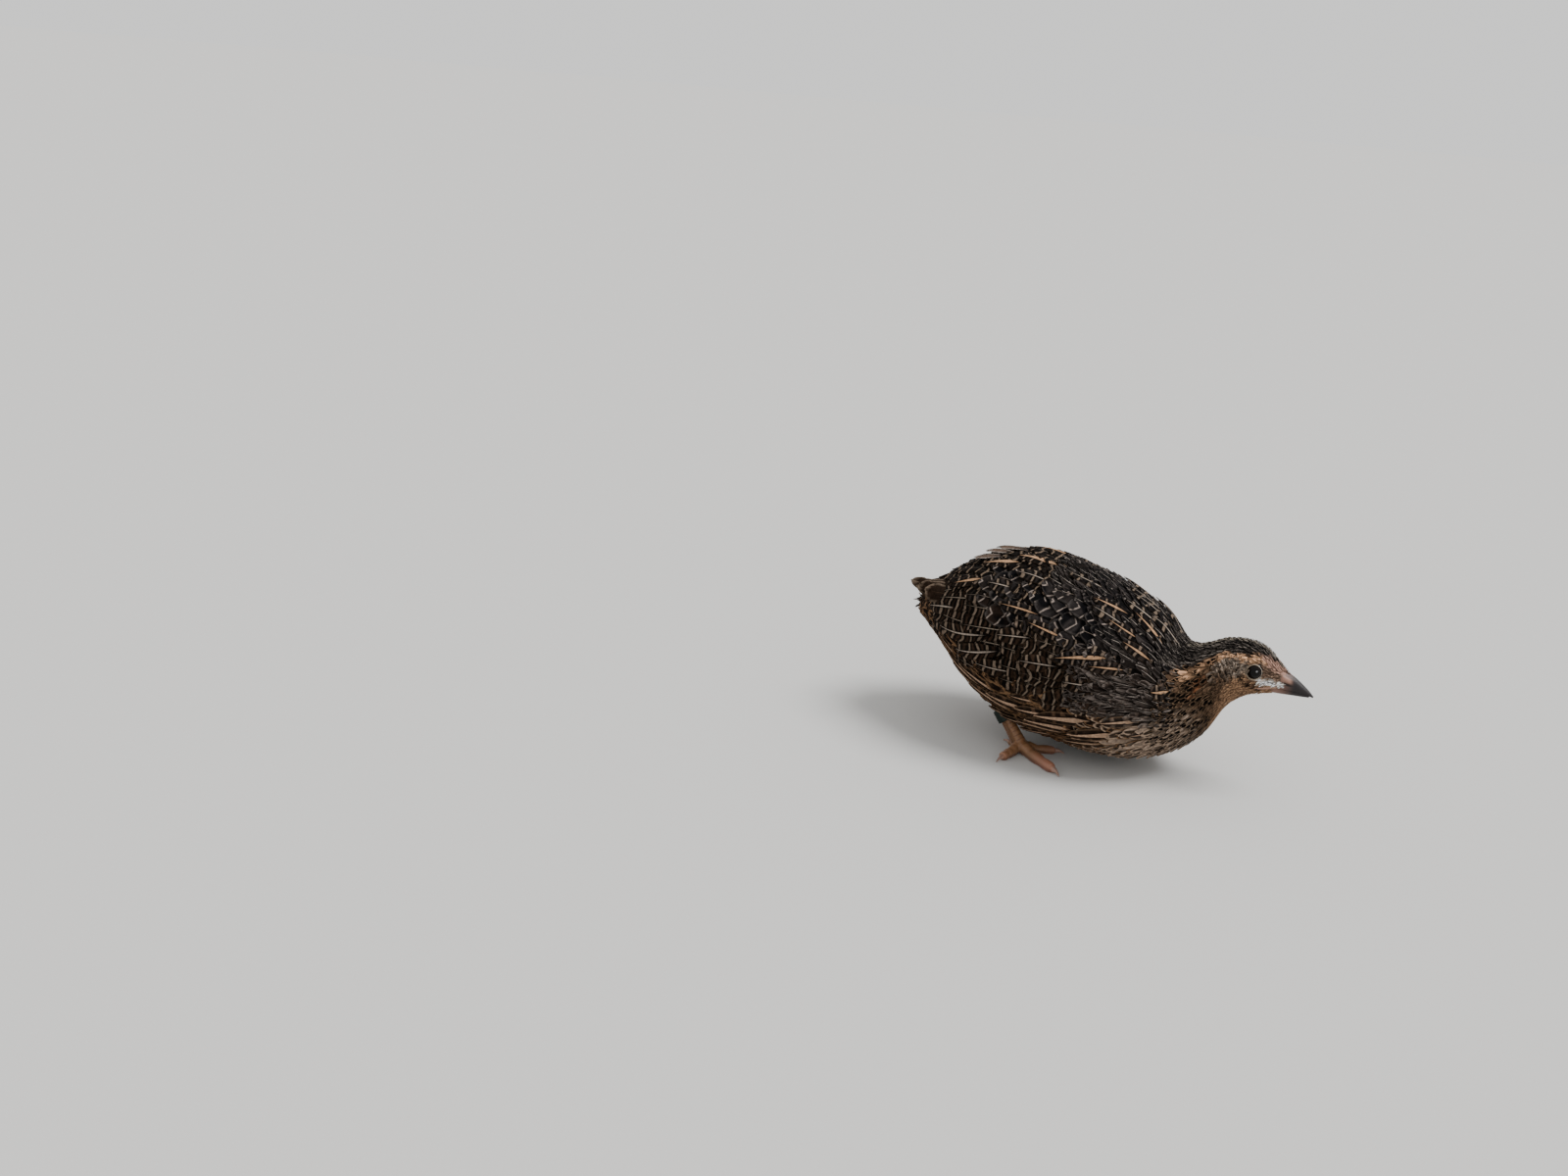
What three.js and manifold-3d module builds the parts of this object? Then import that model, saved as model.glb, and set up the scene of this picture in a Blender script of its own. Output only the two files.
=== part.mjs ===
// A coturnix quail hen at life size: a still model, crouched low with its head stretched forward.
// Millimetres, Z up from the ground. The bird faces +X with its head turned a little to its left, +Y.

import * as THREE from "three";
import { mergeVertices } from "three/addons/utils/BufferGeometryUtils.js";
import Module from "manifold-3d";

const GAP = 0.3; // left between parts that touch
const TIDY = 0.04; // edges shorter than this are taken out of a joined form
const MERGED = 0.001; // points closer than this are one

// The outline of the coat, out to the tips of its feathers, from the tail to the forehead.
// Each station: place along the bird, height of the back, height of the belly, half the width,
// and how far the middle of the body lies to the bird's left.
const STATIONS = [
  [-56, 38.5, 36, 1.5, 0], // tail tip
  [-52, 47.5, 32.5, 9.5, 0], // tail
  [-45, 55, 28, 17.5, 0], // rump
  [-33, 63, 16.5, 25.5, 0], // vent and lower back
  [-15, 67.5, 6, 31, 0], // highest point of the back
  [3, 65, 3, 32, 0], // widest point
  [20, 60, 2.5, 30, 0], // shoulders
  [31, 54, 4, 25.5, 0.8], // breast
  [38, 47, 6.8, 21, 1.6], // mantle
  [42, 46.7, 9, 18, 2.4], // nape
  [46, 48.3, 12.2, 14.5, 3.4], // neck
  [50, 50.4, 17.5, 11.8, 4.4], // throat
  [54, 51.4, 26.5, 10, 5.2], // back of the head
  [59, 51.4, 32, 8.8, 6.2], // crown
  [64, 49.5, 34, 6.9, 7.2], // forehead
  [68, 45.4, 34.9, 4.4, 8], // root of the bill
];
const COAT_SIDES = 32; // facets round the body
const BODY_STEP = 4; // from ring to ring along the body
const HEAD_STEP = 1.6; // from ring to ring along the head

// Where the body is parted: each cut is a plane through a point, leaning back by some degrees
const TAIL_CUT = { at: -41, height: 45, lean: 0 };
const NECK_CUT = { at: 42, height: 46, lean: 34 };
const HEAD_CUT = { at: 50, height: 50, lean: 24 };

// The folded wings lie in a shallow bed in the sides of the body
const BED_DEPTH = 3;
const BED_FRONT = 32; // where the bed starts behind the breast
const BED_TOP = 17; // degrees from the middle of the back
const BED_LOW = 122; // degrees, along the flank
const BED_EDGE = 8; // how softly the bed fades, in degrees and in millimetres
const WING_THICK = 1.9; // of the fleshy wing under the feathers
const WING_SUNK = 0.6; // how far it dips before it is cut clear of the body
const WING_END = -27; // where the fleshy wing ends and the feathers run on alone
const WING_FRONT_EDGES = [62, 72]; // degrees of its upper and lower edge, at the shoulder
const WING_REAR_EDGES = [36, 92]; // and at its rear end
const WING_ROUNDED = 0.25; // share of its length in which the shoulder is rounded
const WING_CLOSING = 0.6; // share of its length where it starts to narrow
const WING_ROWS = 12;
const WING_COLUMNS = 8;
const WING_STRAIGHT = -36; // behind this the wing no longer follows the round of the rump

// A feather's outline from root to tip, as shares of its length and of its width
const VANE_ALONG = [0, 0.6, 1];
const VANE_SPREAD = [0.8, 1]; // the last share is each tier's own tip
const VANE_TIP = 0.4;
const VANE_THICK = [0.95, 0.6]; // at the root and at the tip
const VANE_SHINGLE = 0.22; // how far its lower edge stands above its upper one
const VANE_UNEVEN = 0.07; // share by which lengths and places vary

// The tiers of the folded wing, from the shoulder to the tip. Each tier: place of its roots along
// the bird, degrees from the back of its highest and lowest feather, number of feathers, their
// length and width, degrees that they run down the side, and how far roots and tips stand out.
const WING_TIERS = [
  { roots: 20.5, top: 48, low: 100, count: 5, length: 11.5, width: 11, down: -3, sunk: -2.2, rise: 0.15 },
  { roots: 14.5, top: 39, low: 109, count: 6, length: 15.5, width: 11, down: -2, sunk: -2.2, rise: 0.2 },
  { roots: 6, top: 36, low: 110, count: 6, length: 16.5, width: 10.5, down: -3, sunk: -2.2, rise: 0.25 },
  { roots: -5, top: 37, low: 107, count: 6, length: 18.5, width: 11, down: -5, sunk: -2.2, rise: 0.3 },
  { roots: -15, top: 38, low: 101, count: 5, length: 22, width: 11.5, down: -8, sunk: -2.2, rise: 0.35 },
  { roots: -24, top: 36, low: 74, count: 4, length: 24, width: 10, down: -4, sunk: -2, rise: 0.9 },
];
const SHOULDER_ROW = { first: 20, step: -10.5, count: 5 }; // places of the roots of the shoulder feathers
const SHOULDER_FEATHER = { angle: 28, length: 18, width: 11, down: 5, sunk: -2, rise: 0.5 };
const PRIMARY_ROW = { top: 43, step: 6, count: 3, shorter: 3.2 };
const PRIMARY = { roots: -29, length: 28, width: 6.5, sunk: -2.1 };
const PRIMARY_RISE = { right: 6.3, left: 3 }; // the left wing is held a little closer

// The tail: a short core, and tiers of feathers all round it that end in the tail feathers
const TAIL_CORE_END = -48;
const TAIL_CORE_INSET = 1.3;
const TAIL_STRAIGHT = -47.5; // behind this the tail feathers run straight on
const TAIL_TIERS = [
  { roots: -41.8, reach: 165, count: 10, length: 8.5, width: 13, tip: 0.5, sunk: -1.9, rise: -0.75 },
  { roots: -45.8, reach: 130, count: 10, length: 9.8, width: 9, tip: 0.5, sunk: -2.2, rise: -1 },
];

// The head
const HEADING = 11; // degrees that the head is turned to the bird's left
const EYE_RADIUS = 2.9;
const EYE = { at: 61.6, side: 4.7, height: 43.2 }; // centre of the right eye, side from mid-head
const LID_THICK = 0.65;
const LID_OPENING = { long: 5.3, high: 4.7 };
const LID_CUT = [0.2, 4.9]; // how far from the eye's middle the opening starts and ends
const LID_SIDES = 18;
const EYE_FACETS = [16, 10]; // round the eye and from pole to pole
const MOUTH_HEIGHT = 37.8; // at the root of the bill
const MOUTH_SLIT = { length: 5, depth: 1.5, high: 0.4, lift: 0.2, ahead: 0.5 }; // cut into the cheek

// The bill, by stations: place, upper edge, cutting edge, lower edge, half width, middle
const BILL_ROOT = STATIONS.at(-1)[0] + GAP;
const BILL = [
  [BILL_ROOT, 44.8, MOUTH_HEIGHT, 35.3, 3.7, 8.1],
  [71, 43.2, 37.6, 35.2, 3.2, 8.6],
  [74, 41.4, 37.35, 35.3, 2.6, 9.1],
  [77, 39.3, 36.95, 35.4, 1.85, 9.5],
  [79.2, 37.5, 36.35, 35.5, 1.1, 9.8],
  [80.6, 36.1, 35.8, 35.5, 0.5, 10],
];
const BILL_SIDES = 12; // points round each half
const BILL_STEPS = 8;
const BILL_ARCH = 0.8; // under 1 makes its section fuller
const BILL_THIN = { high: 0.25, half: 0.2 }; // no thinner than this at the tip
const LOWER_BILL_SHORTER = 1.3;
const LOWER_BILL_NARROWER = 0.25; // on each side
const NOSTRIL = { at: 71.2, height: 40.6, length: 2.4, flap: 0.9, lean: 24, out: 0.72, flat: 0.9 };
const NOSTRIL_SLIT = { long: 1.92, deep: 1.2, high: 0.35, ahead: 0.2, out: 0.35, drop: 0.95 };

// Legs and feet. Each toe: how far its claw tip lies ahead of and outside the foot's middle.
const FOOT_PLACES = { right: [-8, 17.5], left: [-5, 16.5] };
const ANKLE_BACK = 13.5; // the shank leans back from the foot into the flank
const ANKLE_UP = 16;
const ANKLE_IN = 2.5;
const SHANK_RADIUS = [2.3, 1.95, 1.95, 2.1]; // at the toes, twice in the middle and in the feathers
const SHANK_SHARES = [0.3, 0.6]; // of its length, where the two in the middle are
const SHANK_SUNK = 0.5; // how far it starts inside the foot
const SHANK_SIDES = 12;
const FOOT_TOP = 2.2; // how far up the shank the foot ends
const FOOT_HEIGHT = 2.4;
const TOES = {
  inner: { ahead: 14, out: -7.5, thick: 1.6, bones: 2, height: 1.2 },
  middle: { ahead: 18.5, out: 11.5, thick: 1.75, bones: 3, height: 1.35 },
  outer: { ahead: -3, out: 14.5, thick: 1.6, bones: 4, height: 1.15 },
  hind: { ahead: -7.5, out: -4.5, thick: 1.1, bones: 1, height: 0.95 },
};
const TOE_RISE = 0.82; // how high the middle of a toe lies, so that its sole is flat on the ground
const TOE_LEVEL = 0.45; // share of its length where it has come down to that
const TOE_PAD = 0.12; // share of its thickness by which each pad swells
const TOE_TAPER = 0.28; // share of its thickness that is lost at its end
const TOE_SIDES = 8;
const CLAW = { length: 3.6, thick: 0.66, tip: 0.16, lift: 0.05 };
const CLAW_SHARES = [0, 0.35, 0.7, 1]; // of its length, from its root to its tip
const CLAW_SIDES = 6;

// The closed plastic ring round the right shank
const RING = { along: 11.8, tall: 4.6, inner: 2.5, outer: 3.2 };
const RING_ROOM = 0.45; // left round the ring in the feathers of the flank
const RING_SIDES = 20;

const PLUMAGE = new THREE.MeshStandardMaterial({ color: "#5b4735", roughness: 0.85 });
const WING_BROWN = new THREE.MeshStandardMaterial({ color: "#4a3c30", roughness: 0.8 });
const EYE_DARK = new THREE.MeshStandardMaterial({ color: "#120d0a", roughness: 0.08 });
const BILL_HORN = new THREE.MeshStandardMaterial({ color: "#4b423e", roughness: 0.45 });
const LEG_SKIN = new THREE.MeshStandardMaterial({ color: "#b08058", roughness: 0.55 });
const CLAW_HORN = new THREE.MeshStandardMaterial({ color: "#a98a78", roughness: 0.4 });
const RING_GREEN = new THREE.MeshStandardMaterial({ color: "#123b2a", roughness: 0.35 });

const wasm = await Module();
wasm.setup();

const radians = THREE.MathUtils.degToRad;
const degrees = THREE.MathUtils.radToDeg;
const smoothstep = THREE.MathUtils.smoothstep;
const point = (x, y, z) => new THREE.Vector3(x, y, z);

// A smooth curve through values at uneven places
function curveThrough(places, values) {
  const slope = (i) => (values[i + 1] - values[i]) / (places[i + 1] - places[i]);
  const last = places.length - 1;
  const tangents = values.map((_, i) => {
    if (i === 0) return slope(0);
    if (i === last) return slope(last - 1);
    const before = places[i] - places[i - 1];
    const after = places[i + 1] - places[i];
    return (slope(i - 1) * after + slope(i) * before) / (before + after);
  });
  return (at) => {
    const i = Math.max(0, places.slice(0, last).findLastIndex((place) => place <= at));
    const span = places[i + 1] - places[i];
    const t = (at - places[i]) / span;
    const rise = values[i + 1] - values[i];
    const start = span * tangents[i];
    const end = span * tangents[i + 1];
    return values[i] + t * (start + t * (3 * rise - 2 * start - end + t * (start + end - 2 * rise)));
  };
}

const column = (table, k) => curveThrough(table.map((row) => row[0]), table.map((row) => row[k]));
const [back, belly, halfWidth, middle] = [1, 2, 3, 4].map((k) => column(STATIONS, k));

// A point on the coat: angle in degrees from the back, side -1 for the right and +1 for the left,
// and how far it stands out of the coat's outline
function coatPoint(at, angle, side, out) {
  const high = (back(at) - belly(at)) / 2;
  const turn = radians(angle) * side;
  return point(
    at,
    middle(at) + Math.max(halfWidth(at) + out, 0.1) * Math.sin(turn),
    belly(at) + high + Math.max(high + out, 0.1) * Math.cos(turn),
  );
}

// How deep the body is let in under the wing, 0 outside the bed
function bedDepth(at, angle) {
  const turn = Math.abs(angle);
  const front = 1 - smoothstep(at, BED_FRONT - BED_EDGE, BED_FRONT);
  const top = smoothstep(turn, BED_TOP, BED_TOP + BED_EDGE);
  const low = 1 - smoothstep(turn, BED_LOW - BED_EDGE, BED_LOW);
  return BED_DEPTH * front * top * low;
}

// A closed body from a list of points and triangles, with its faces turned outwards
function closedBody(points, triangles) {
  const volume = triangles.reduce((sum, [a, b, c]) => {
    const cross = points[b].clone().cross(points[c]);
    return sum + points[a].dot(cross);
  }, 0);
  const outward = volume > 0 ? triangles : triangles.map(([a, b, c]) => [a, c, b]);
  const geometry = new THREE.BufferGeometry();
  geometry.setFromPoints(points);
  geometry.setIndex(outward.flat());
  return geometry;
}

// The skin over a row of rings that have the same number of points, with a flat end on each
function loft(rings) {
  const count = rings[0].length;
  const points = rings.flat();
  const triangles = [];
  for (let i = 0; i < rings.length - 1; i += 1) {
    for (let j = 0; j < count; j += 1) {
      const a = i * count + j;
      const b = i * count + ((j + 1) % count);
      triangles.push([a, b, b + count], [a, b + count, a + count]);
    }
  }
  for (const [ring, flip] of [[0, true], [rings.length - 1, false]]) {
    const centre = rings[ring].reduce((sum, p) => sum.add(p), point(0, 0, 0)).divideScalar(count);
    const hub = points.push(centre) - 1;
    for (let j = 0; j < count; j += 1) {
      const a = ring * count + j;
      const b = ring * count + ((j + 1) % count);
      triangles.push(flip ? [hub, b, a] : [hub, a, b]);
    }
  }
  return closedBody(points, triangles);
}

// A plate between two sheets of points, split into triangles alike on both faces
function plate(upper, lower) {
  const rows = upper.length;
  const columns = upper[0].length;
  const points = [...upper.flat(), ...lower.flat()];
  const under = rows * columns;
  const triangles = [];
  for (let i = 0; i < rows - 1; i += 1) {
    for (let j = 0; j < columns - 1; j += 1) {
      const a = i * columns + j;
      const [b, c, d] = [a + 1, a + columns + 1, a + columns];
      triangles.push([a, b, c], [a, c, d]);
      triangles.push([a + under, c + under, b + under], [a + under, d + under, c + under]);
    }
  }
  const rim = [];
  for (let j = 0; j < columns - 1; j += 1) rim.push(j);
  for (let i = 0; i < rows - 1; i += 1) rim.push(i * columns + columns - 1);
  for (let j = columns - 1; j > 0; j -= 1) rim.push((rows - 1) * columns + j);
  for (let i = rows - 1; i > 0; i -= 1) rim.push(i * columns);
  rim.forEach((a, k) => {
    const b = rim[(k + 1) % rim.length];
    triangles.push([a, a + under, b + under], [a, b + under, b]);
  });
  return closedBody(points, triangles);
}

// A round limb along a path, with its radius at each point of the path
function limb(path, radii, sides) {
  const rings = path.map((centre, i) => {
    const ahead = path[Math.min(i + 1, path.length - 1)].clone();
    const along = ahead.sub(path[Math.max(i - 1, 0)]).normalize();
    const across = point(0, 0, 1).cross(along).normalize();
    const up = along.clone().cross(across);
    return Array.from({ length: sides }, (_, j) => {
      const turn = (2 * Math.PI * j) / sides;
      return centre
        .clone()
        .addScaledVector(across, radii[i] * Math.cos(turn))
        .addScaledVector(up, radii[i] * Math.sin(turn));
    });
  });
  return loft(rings);
}

function toSolid(geometry) {
  const bare = geometry.clone();
  bare.deleteAttribute("normal");
  bare.deleteAttribute("uv");
  const merged = mergeVertices(bare, MERGED);
  const vertProperties = Float32Array.from(merged.attributes.position.array);
  const triVerts = Uint32Array.from(merged.index.array);
  return new wasm.Manifold(new wasm.Mesh({ numProp: 3, vertProperties, triVerts }));
}

// The largest closed surface of a solid, as geometry: a sealed hollow is filled by this
function largestSurface(solid) {
  const mesh = solid.getMesh();
  const corners = mesh.triVerts;
  const leader = Array.from({ length: mesh.vertProperties.length / 3 }, (_, i) => i);
  const find = (i) => {
    while (leader[i] !== i) i = leader[i] = leader[leader[i]];
    return i;
  };
  for (let k = 0; k < corners.length; k += 3) {
    leader[find(corners[k + 1])] = find(corners[k]);
    leader[find(corners[k + 2])] = find(corners[k]);
  }
  const corner = (k) => new THREE.Vector3().fromArray(mesh.vertProperties, 3 * corners[k]);
  const volumes = new Map();
  for (let k = 0; k < corners.length; k += 3) {
    const surface = find(corners[k]);
    const share = corner(k).dot(corner(k + 1).cross(corner(k + 2)));
    volumes.set(surface, (volumes.get(surface) ?? 0) + share);
  }
  const [largest] = [...volumes].sort((a, b) => b[1] - a[1])[0];
  const geometry = new THREE.BufferGeometry();
  geometry.setAttribute("position", new THREE.BufferAttribute(mesh.vertProperties, 3));
  geometry.setIndex(Array.from(corners).filter((_, k) => find(corners[k]) === largest));
  return geometry.toNonIndexed();
}

// Twice, because a hollow that opens by less than a merged edge is sealed by the merging
function toGeometry(solid) {
  const first = largestSurface(solid.simplify(TIDY));
  const whole = mergeVertices(largestSurface(toSolid(first)), MERGED);
  whole.computeVertexNormals();
  return whole;
}

const join = (solids) => solids.reduce((whole, solid) => whole.add(solid));
const cutAway = (solid, cutters) => cutters.reduce((rest, cutter) => rest.subtract(cutter), solid);

const bird = new THREE.Group();

function addPart(name, solid, material) {
  const mesh = new THREE.Mesh(toGeometry(solid), material);
  mesh.name = name;
  bird.add(mesh);
}

// The body in one form from tail to forehead; grown stands it out for cutting its neighbours clear
function bodyForm(grown) {
  const rings = [];
  const start = STATIONS[0][0];
  const end = STATIONS.at(-1)[0];
  for (let at = start; at < end - HEAD_STEP / 2; at += at < NECK_CUT.at ? BODY_STEP : HEAD_STEP) {
    rings.push(bodyRing(at, grown));
  }
  rings.push(bodyRing(end, grown));
  return toSolid(loft(rings));
}

const body = bodyForm(0);
const grownBody = bodyForm(GAP);

function bodyRing(at, grown) {
  return Array.from({ length: COAT_SIDES }, (_, j) => {
    const angle = (360 * j) / COAT_SIDES - 180;
    return coatPoint(at, angle, 1, grown - bedDepth(at, angle));
  });
}

// What lies ahead of a cut, or behind it
function aheadOf(solid, cut, shift) {
  const normal = [Math.cos(radians(cut.lean)), 0, Math.sin(radians(cut.lean))];
  return solid.trimByPlane(normal, normal[0] * cut.at + normal[2] * cut.height + shift);
}

function behind(solid, cut) {
  const normal = [-Math.cos(radians(cut.lean)), 0, -Math.sin(radians(cut.lean))];
  return solid.trimByPlane(normal, normal[0] * cut.at + normal[2] * cut.height);
}

// Feet: the shank's line from the middle of the foot up and back into the flank
function shankPoint(side, along) {
  const [at, out] = FOOT_PLACES[side < 0 ? "right" : "left"];
  const foot = point(at, side * out, FOOT_HEIGHT);
  const slope = point(-ANKLE_BACK, -side * ANKLE_IN, ANKLE_UP).normalize();
  return foot.addScaledVector(slope, along);
}

const SHANK_LENGTH = Math.hypot(ANKLE_BACK, ANKLE_UP, ANKLE_IN);

function shankForm(side, length) {
  const middle = SHANK_SHARES.map((share) => length * share);
  const path = [-SHANK_SUNK, ...middle, length].map((along) => shankPoint(side, along));
  return toSolid(limb(path, SHANK_RADIUS, SHANK_SIDES));
}

// A toe from the middle of the foot to the root of its claw, swollen at each bone's pad
function toeForm(side, toe, foot) {
  const steps = toe.bones * 2 + 2;
  const path = [];
  const radii = [];
  const reach = Math.hypot(toe.ahead, toe.out) - CLAW.length;
  const share = reach / (reach + CLAW.length);
  for (let i = 0; i <= steps; i += 1) {
    const t = i / steps;
    const pad = Math.abs(Math.sin(Math.PI * t * toe.bones)) * TOE_PAD;
    const taper = 1 - TOE_TAPER * t;
    path.push(
      point(
        foot.x + toe.ahead * share * t,
        foot.y + side * toe.out * share * t,
        THREE.MathUtils.lerp(FOOT_HEIGHT, toe.height * TOE_RISE, smoothstep(t, 0, TOE_LEVEL)),
      ),
    );
    radii.push(toe.thick * (taper + pad));
  }
  return toSolid(limb(path, radii, TOE_SIDES));
}

function clawForm(side, toe, foot) {
  const full = Math.hypot(toe.ahead, toe.out);
  const direction = point(toe.ahead / full, (side * toe.out) / full, 0);
  const start = full - CLAW.length + GAP;
  const path = CLAW_SHARES.map((t) => {
    const place = direction.clone().multiplyScalar(start + (CLAW.length - GAP) * t);
    const height = THREE.MathUtils.lerp(toe.height * TOE_RISE, CLAW.tip + CLAW.lift, t * t);
    return place.add(point(foot.x, foot.y, height));
  });
  const radii = CLAW_SHARES.map((t) => THREE.MathUtils.lerp(toe.height * CLAW.thick, CLAW.tip, t));
  return toSolid(limb(path, radii, CLAW_SIDES));
}

// Eyes and lids
const headAhead = point(Math.cos(radians(HEADING)), Math.sin(radians(HEADING)), 0);
const headLeft = point(-Math.sin(radians(HEADING)), Math.cos(radians(HEADING)), 0);

function eyePlace(side) {
  const right = point(EYE.at, middle(EYE.at) - EYE.side, EYE.height);
  return side < 0 ? right : right.addScaledVector(headLeft, 2 * EYE.side);
}

function ball(place, radius) {
  const sphere = new THREE.SphereGeometry(radius, ...EYE_FACETS);
  sphere.rotateX(Math.PI / 2);
  sphere.translate(place.x, place.y, place.z);
  return toSolid(sphere);
}

// The almond-shaped opening between the lids, cut in from the side of the head
function lidOpening(side) {
  const place = eyePlace(side);
  const rings = LID_CUT.map((depth) => {
    return Array.from({ length: LID_SIDES }, (_, j) => {
      const turn = (2 * Math.PI * j) / LID_SIDES;
      return place
        .clone()
        .addScaledVector(headAhead, (LID_OPENING.long / 2) * Math.cos(turn))
        .addScaledVector(headLeft, side * depth)
        .add(point(0, 0, (LID_OPENING.high / 2) * Math.sin(turn)));
    });
  });
  return toSolid(loft(rings));
}

// The corner of the mouth: a thin slit in the cheek behind the bill
function mouthSlit(side) {
  const { length, depth, high, lift, ahead } = MOUTH_SLIT;
  const slit = new THREE.BoxGeometry(length, 2 * depth, high);
  const at = BILL_ROOT - length / 2 + ahead;
  slit.translate(at, middle(at) + side * halfWidth(at + 1), MOUTH_HEIGHT + lift);
  return toSolid(slit);
}

function headForm(body) {
  let head = aheadOf(body, HEAD_CUT, GAP);
  for (const side of [-1, 1]) {
    const lids = ball(eyePlace(side), EYE_RADIUS + GAP + LID_THICK);
    const socket = ball(eyePlace(side), EYE_RADIUS + GAP);
    head = cutAway(head.add(lids), [socket, lidOpening(side), mouthSlit(side)]);
  }
  return head;
}

// The bill: each half is a loft between its outer edge and the cutting edge
const [culmen, cutting, keel, billHalf, billMiddle] = [1, 2, 3, 4, 5].map((k) => column(BILL, k));

function billForm(upper) {
  const tip = BILL.at(-1)[0] - (upper ? 0 : LOWER_BILL_SHORTER);
  const rings = [];
  for (let i = 0; i <= BILL_STEPS; i += 1) {
    const at = THREE.MathUtils.lerp(BILL_ROOT, tip, i / BILL_STEPS);
    const flat = cutting(at) - (upper ? 0 : GAP);
    const high = upper ? culmen(at) - flat : Math.max(flat - keel(at), BILL_THIN.high);
    const half = Math.max(billHalf(at) - (upper ? 0 : LOWER_BILL_NARROWER), BILL_THIN.half);
    rings.push(
      Array.from({ length: BILL_SIDES }, (_, j) => {
        const turn = (Math.PI * j) / (BILL_SIDES - 1);
        const rise = high * Math.sin(turn) ** BILL_ARCH * (upper ? 1 : -1);
        return point(at, billMiddle(at) + half * Math.cos(turn), flat + rise);
      }),
    );
  }
  return toSolid(loft(rings));
}

// The flap over each nostril, and the slit of the nostril under it
function nostrilFlap(side) {
  const flap = new THREE.SphereGeometry(1, 12, 8);
  flap.scale(NOSTRIL.length / 2, NOSTRIL.flap, NOSTRIL.flap * NOSTRIL.flat);
  flap.rotateY(radians(NOSTRIL.lean));
  const out = side * billHalf(NOSTRIL.at) * NOSTRIL.out;
  flap.translate(NOSTRIL.at, billMiddle(NOSTRIL.at) + out, NOSTRIL.height);
  return toSolid(flap);
}

function nostrilSlit(side) {
  const { long, deep, high, ahead, out, drop } = NOSTRIL_SLIT;
  const slit = new THREE.BoxGeometry(long, deep, high);
  slit.rotateY(radians(NOSTRIL.lean));
  const aside = side * (billHalf(NOSTRIL.at) + out);
  slit.translate(NOSTRIL.at + ahead, billMiddle(NOSTRIL.at) + aside, NOSTRIL.height - drop);
  return toSolid(slit);
}

function upperBillForm() {
  const flaps = [-1, 1].map((side) => nostrilFlap(side));
  const slits = [-1, 1].map((side) => nostrilSlit(side));
  return cutAway(join([billForm(true), ...flaps]), slits).trimByPlane([1, 0, 0], BILL_ROOT);
}

// Behind a place along the bird, feathers run straight on instead of following the body's round
function straightened(pointOn, from) {
  const step = 4;
  return (at, angle, side, out) => {
    if (at >= from) return pointOn(at, angle, side, out);
    const before = pointOn(from + step, angle, side, out);
    const edge = pointOn(from, angle, side, out);
    return edge.clone().addScaledVector(edge.clone().sub(before), (from - at) / step);
  };
}

const wingPoint = straightened(coatPoint, WING_STRAIGHT);
const tailPoint = straightened(
  (at, angle, side, out) => coatPoint(at, angle, side, out - bedDepth(at, angle)),
  TAIL_STRAIGHT,
);

// A steady stream of numbers from 0 to 1, the same every time
function seeded(seed) {
  let state = seed;
  return () => {
    state = (state * 1664525 + 1013904223) % 4294967296;
    return state / 4294967296;
  };
}

// One feather: a thin tapering vane over the coat, from its root towards the tail
function vane(pointOn, side, feather) {
  const { roots, angle, length, width, down, sunk, rise, tip = VANE_TIP } = feather;
  const spread = [...VANE_SPREAD, tip];
  const upper = [];
  const lower = [];
  VANE_ALONG.forEach((t, i) => {
    const at = roots - length * t * Math.cos(radians(down));
    const round = Math.max(at, WING_STRAIGHT);
    const radius = (halfWidth(round) + (back(round) - belly(round)) / 2) / 2;
    upper.push([]);
    lower.push([]);
    for (const across of [-1, 0, 1]) {
      const away = length * t * Math.sin(radians(down)) + (across * width * spread[i]) / 2;
      const turn = angle + degrees(away / radius);
      const out = THREE.MathUtils.lerp(sunk, rise, t) + VANE_SHINGLE * across;
      lower[i].push(pointOn(at, turn, side, out));
      const thick = THREE.MathUtils.lerp(...VANE_THICK, t);
      upper[i].push(pointOn(at, turn, side, out + thick));
    }
  });
  return toSolid(plate(upper, lower));
}

// The fleshy wing in its bed, round at the shoulder and narrow behind
function wingFlesh(side) {
  const front = BED_FRONT - BED_EDGE - 1;
  const upper = [];
  const lower = [];
  for (let i = 0; i <= WING_ROWS; i += 1) {
    const t = i / WING_ROWS;
    const at = THREE.MathUtils.lerp(front, WING_END, t);
    const round = Math.sqrt(1 - (1 - Math.min(t / WING_ROUNDED, 1)) ** 2);
    const closing = smoothstep(t, WING_CLOSING, 1);
    const shoulderTop = THREE.MathUtils.lerp(WING_FRONT_EDGES[0], BED_TOP + BED_EDGE + 1, round);
    const shoulderLow = THREE.MathUtils.lerp(WING_FRONT_EDGES[1], BED_LOW - BED_EDGE - 1, round);
    const top = THREE.MathUtils.lerp(shoulderTop, WING_REAR_EDGES[0], closing);
    const low = THREE.MathUtils.lerp(shoulderLow, WING_REAR_EDGES[1], closing);
    upper.push([]);
    lower.push([]);
    for (let j = 0; j <= WING_COLUMNS; j += 1) {
      const angle = THREE.MathUtils.lerp(top, low, j / WING_COLUMNS);
      const under = GAP - bedDepth(at, angle);
      lower[i].push(wingPoint(at, angle, side, under - WING_SUNK));
      upper[i].push(wingPoint(at, angle, side, under + WING_THICK));
    }
  }
  return toSolid(plate(upper, lower));
}

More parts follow.
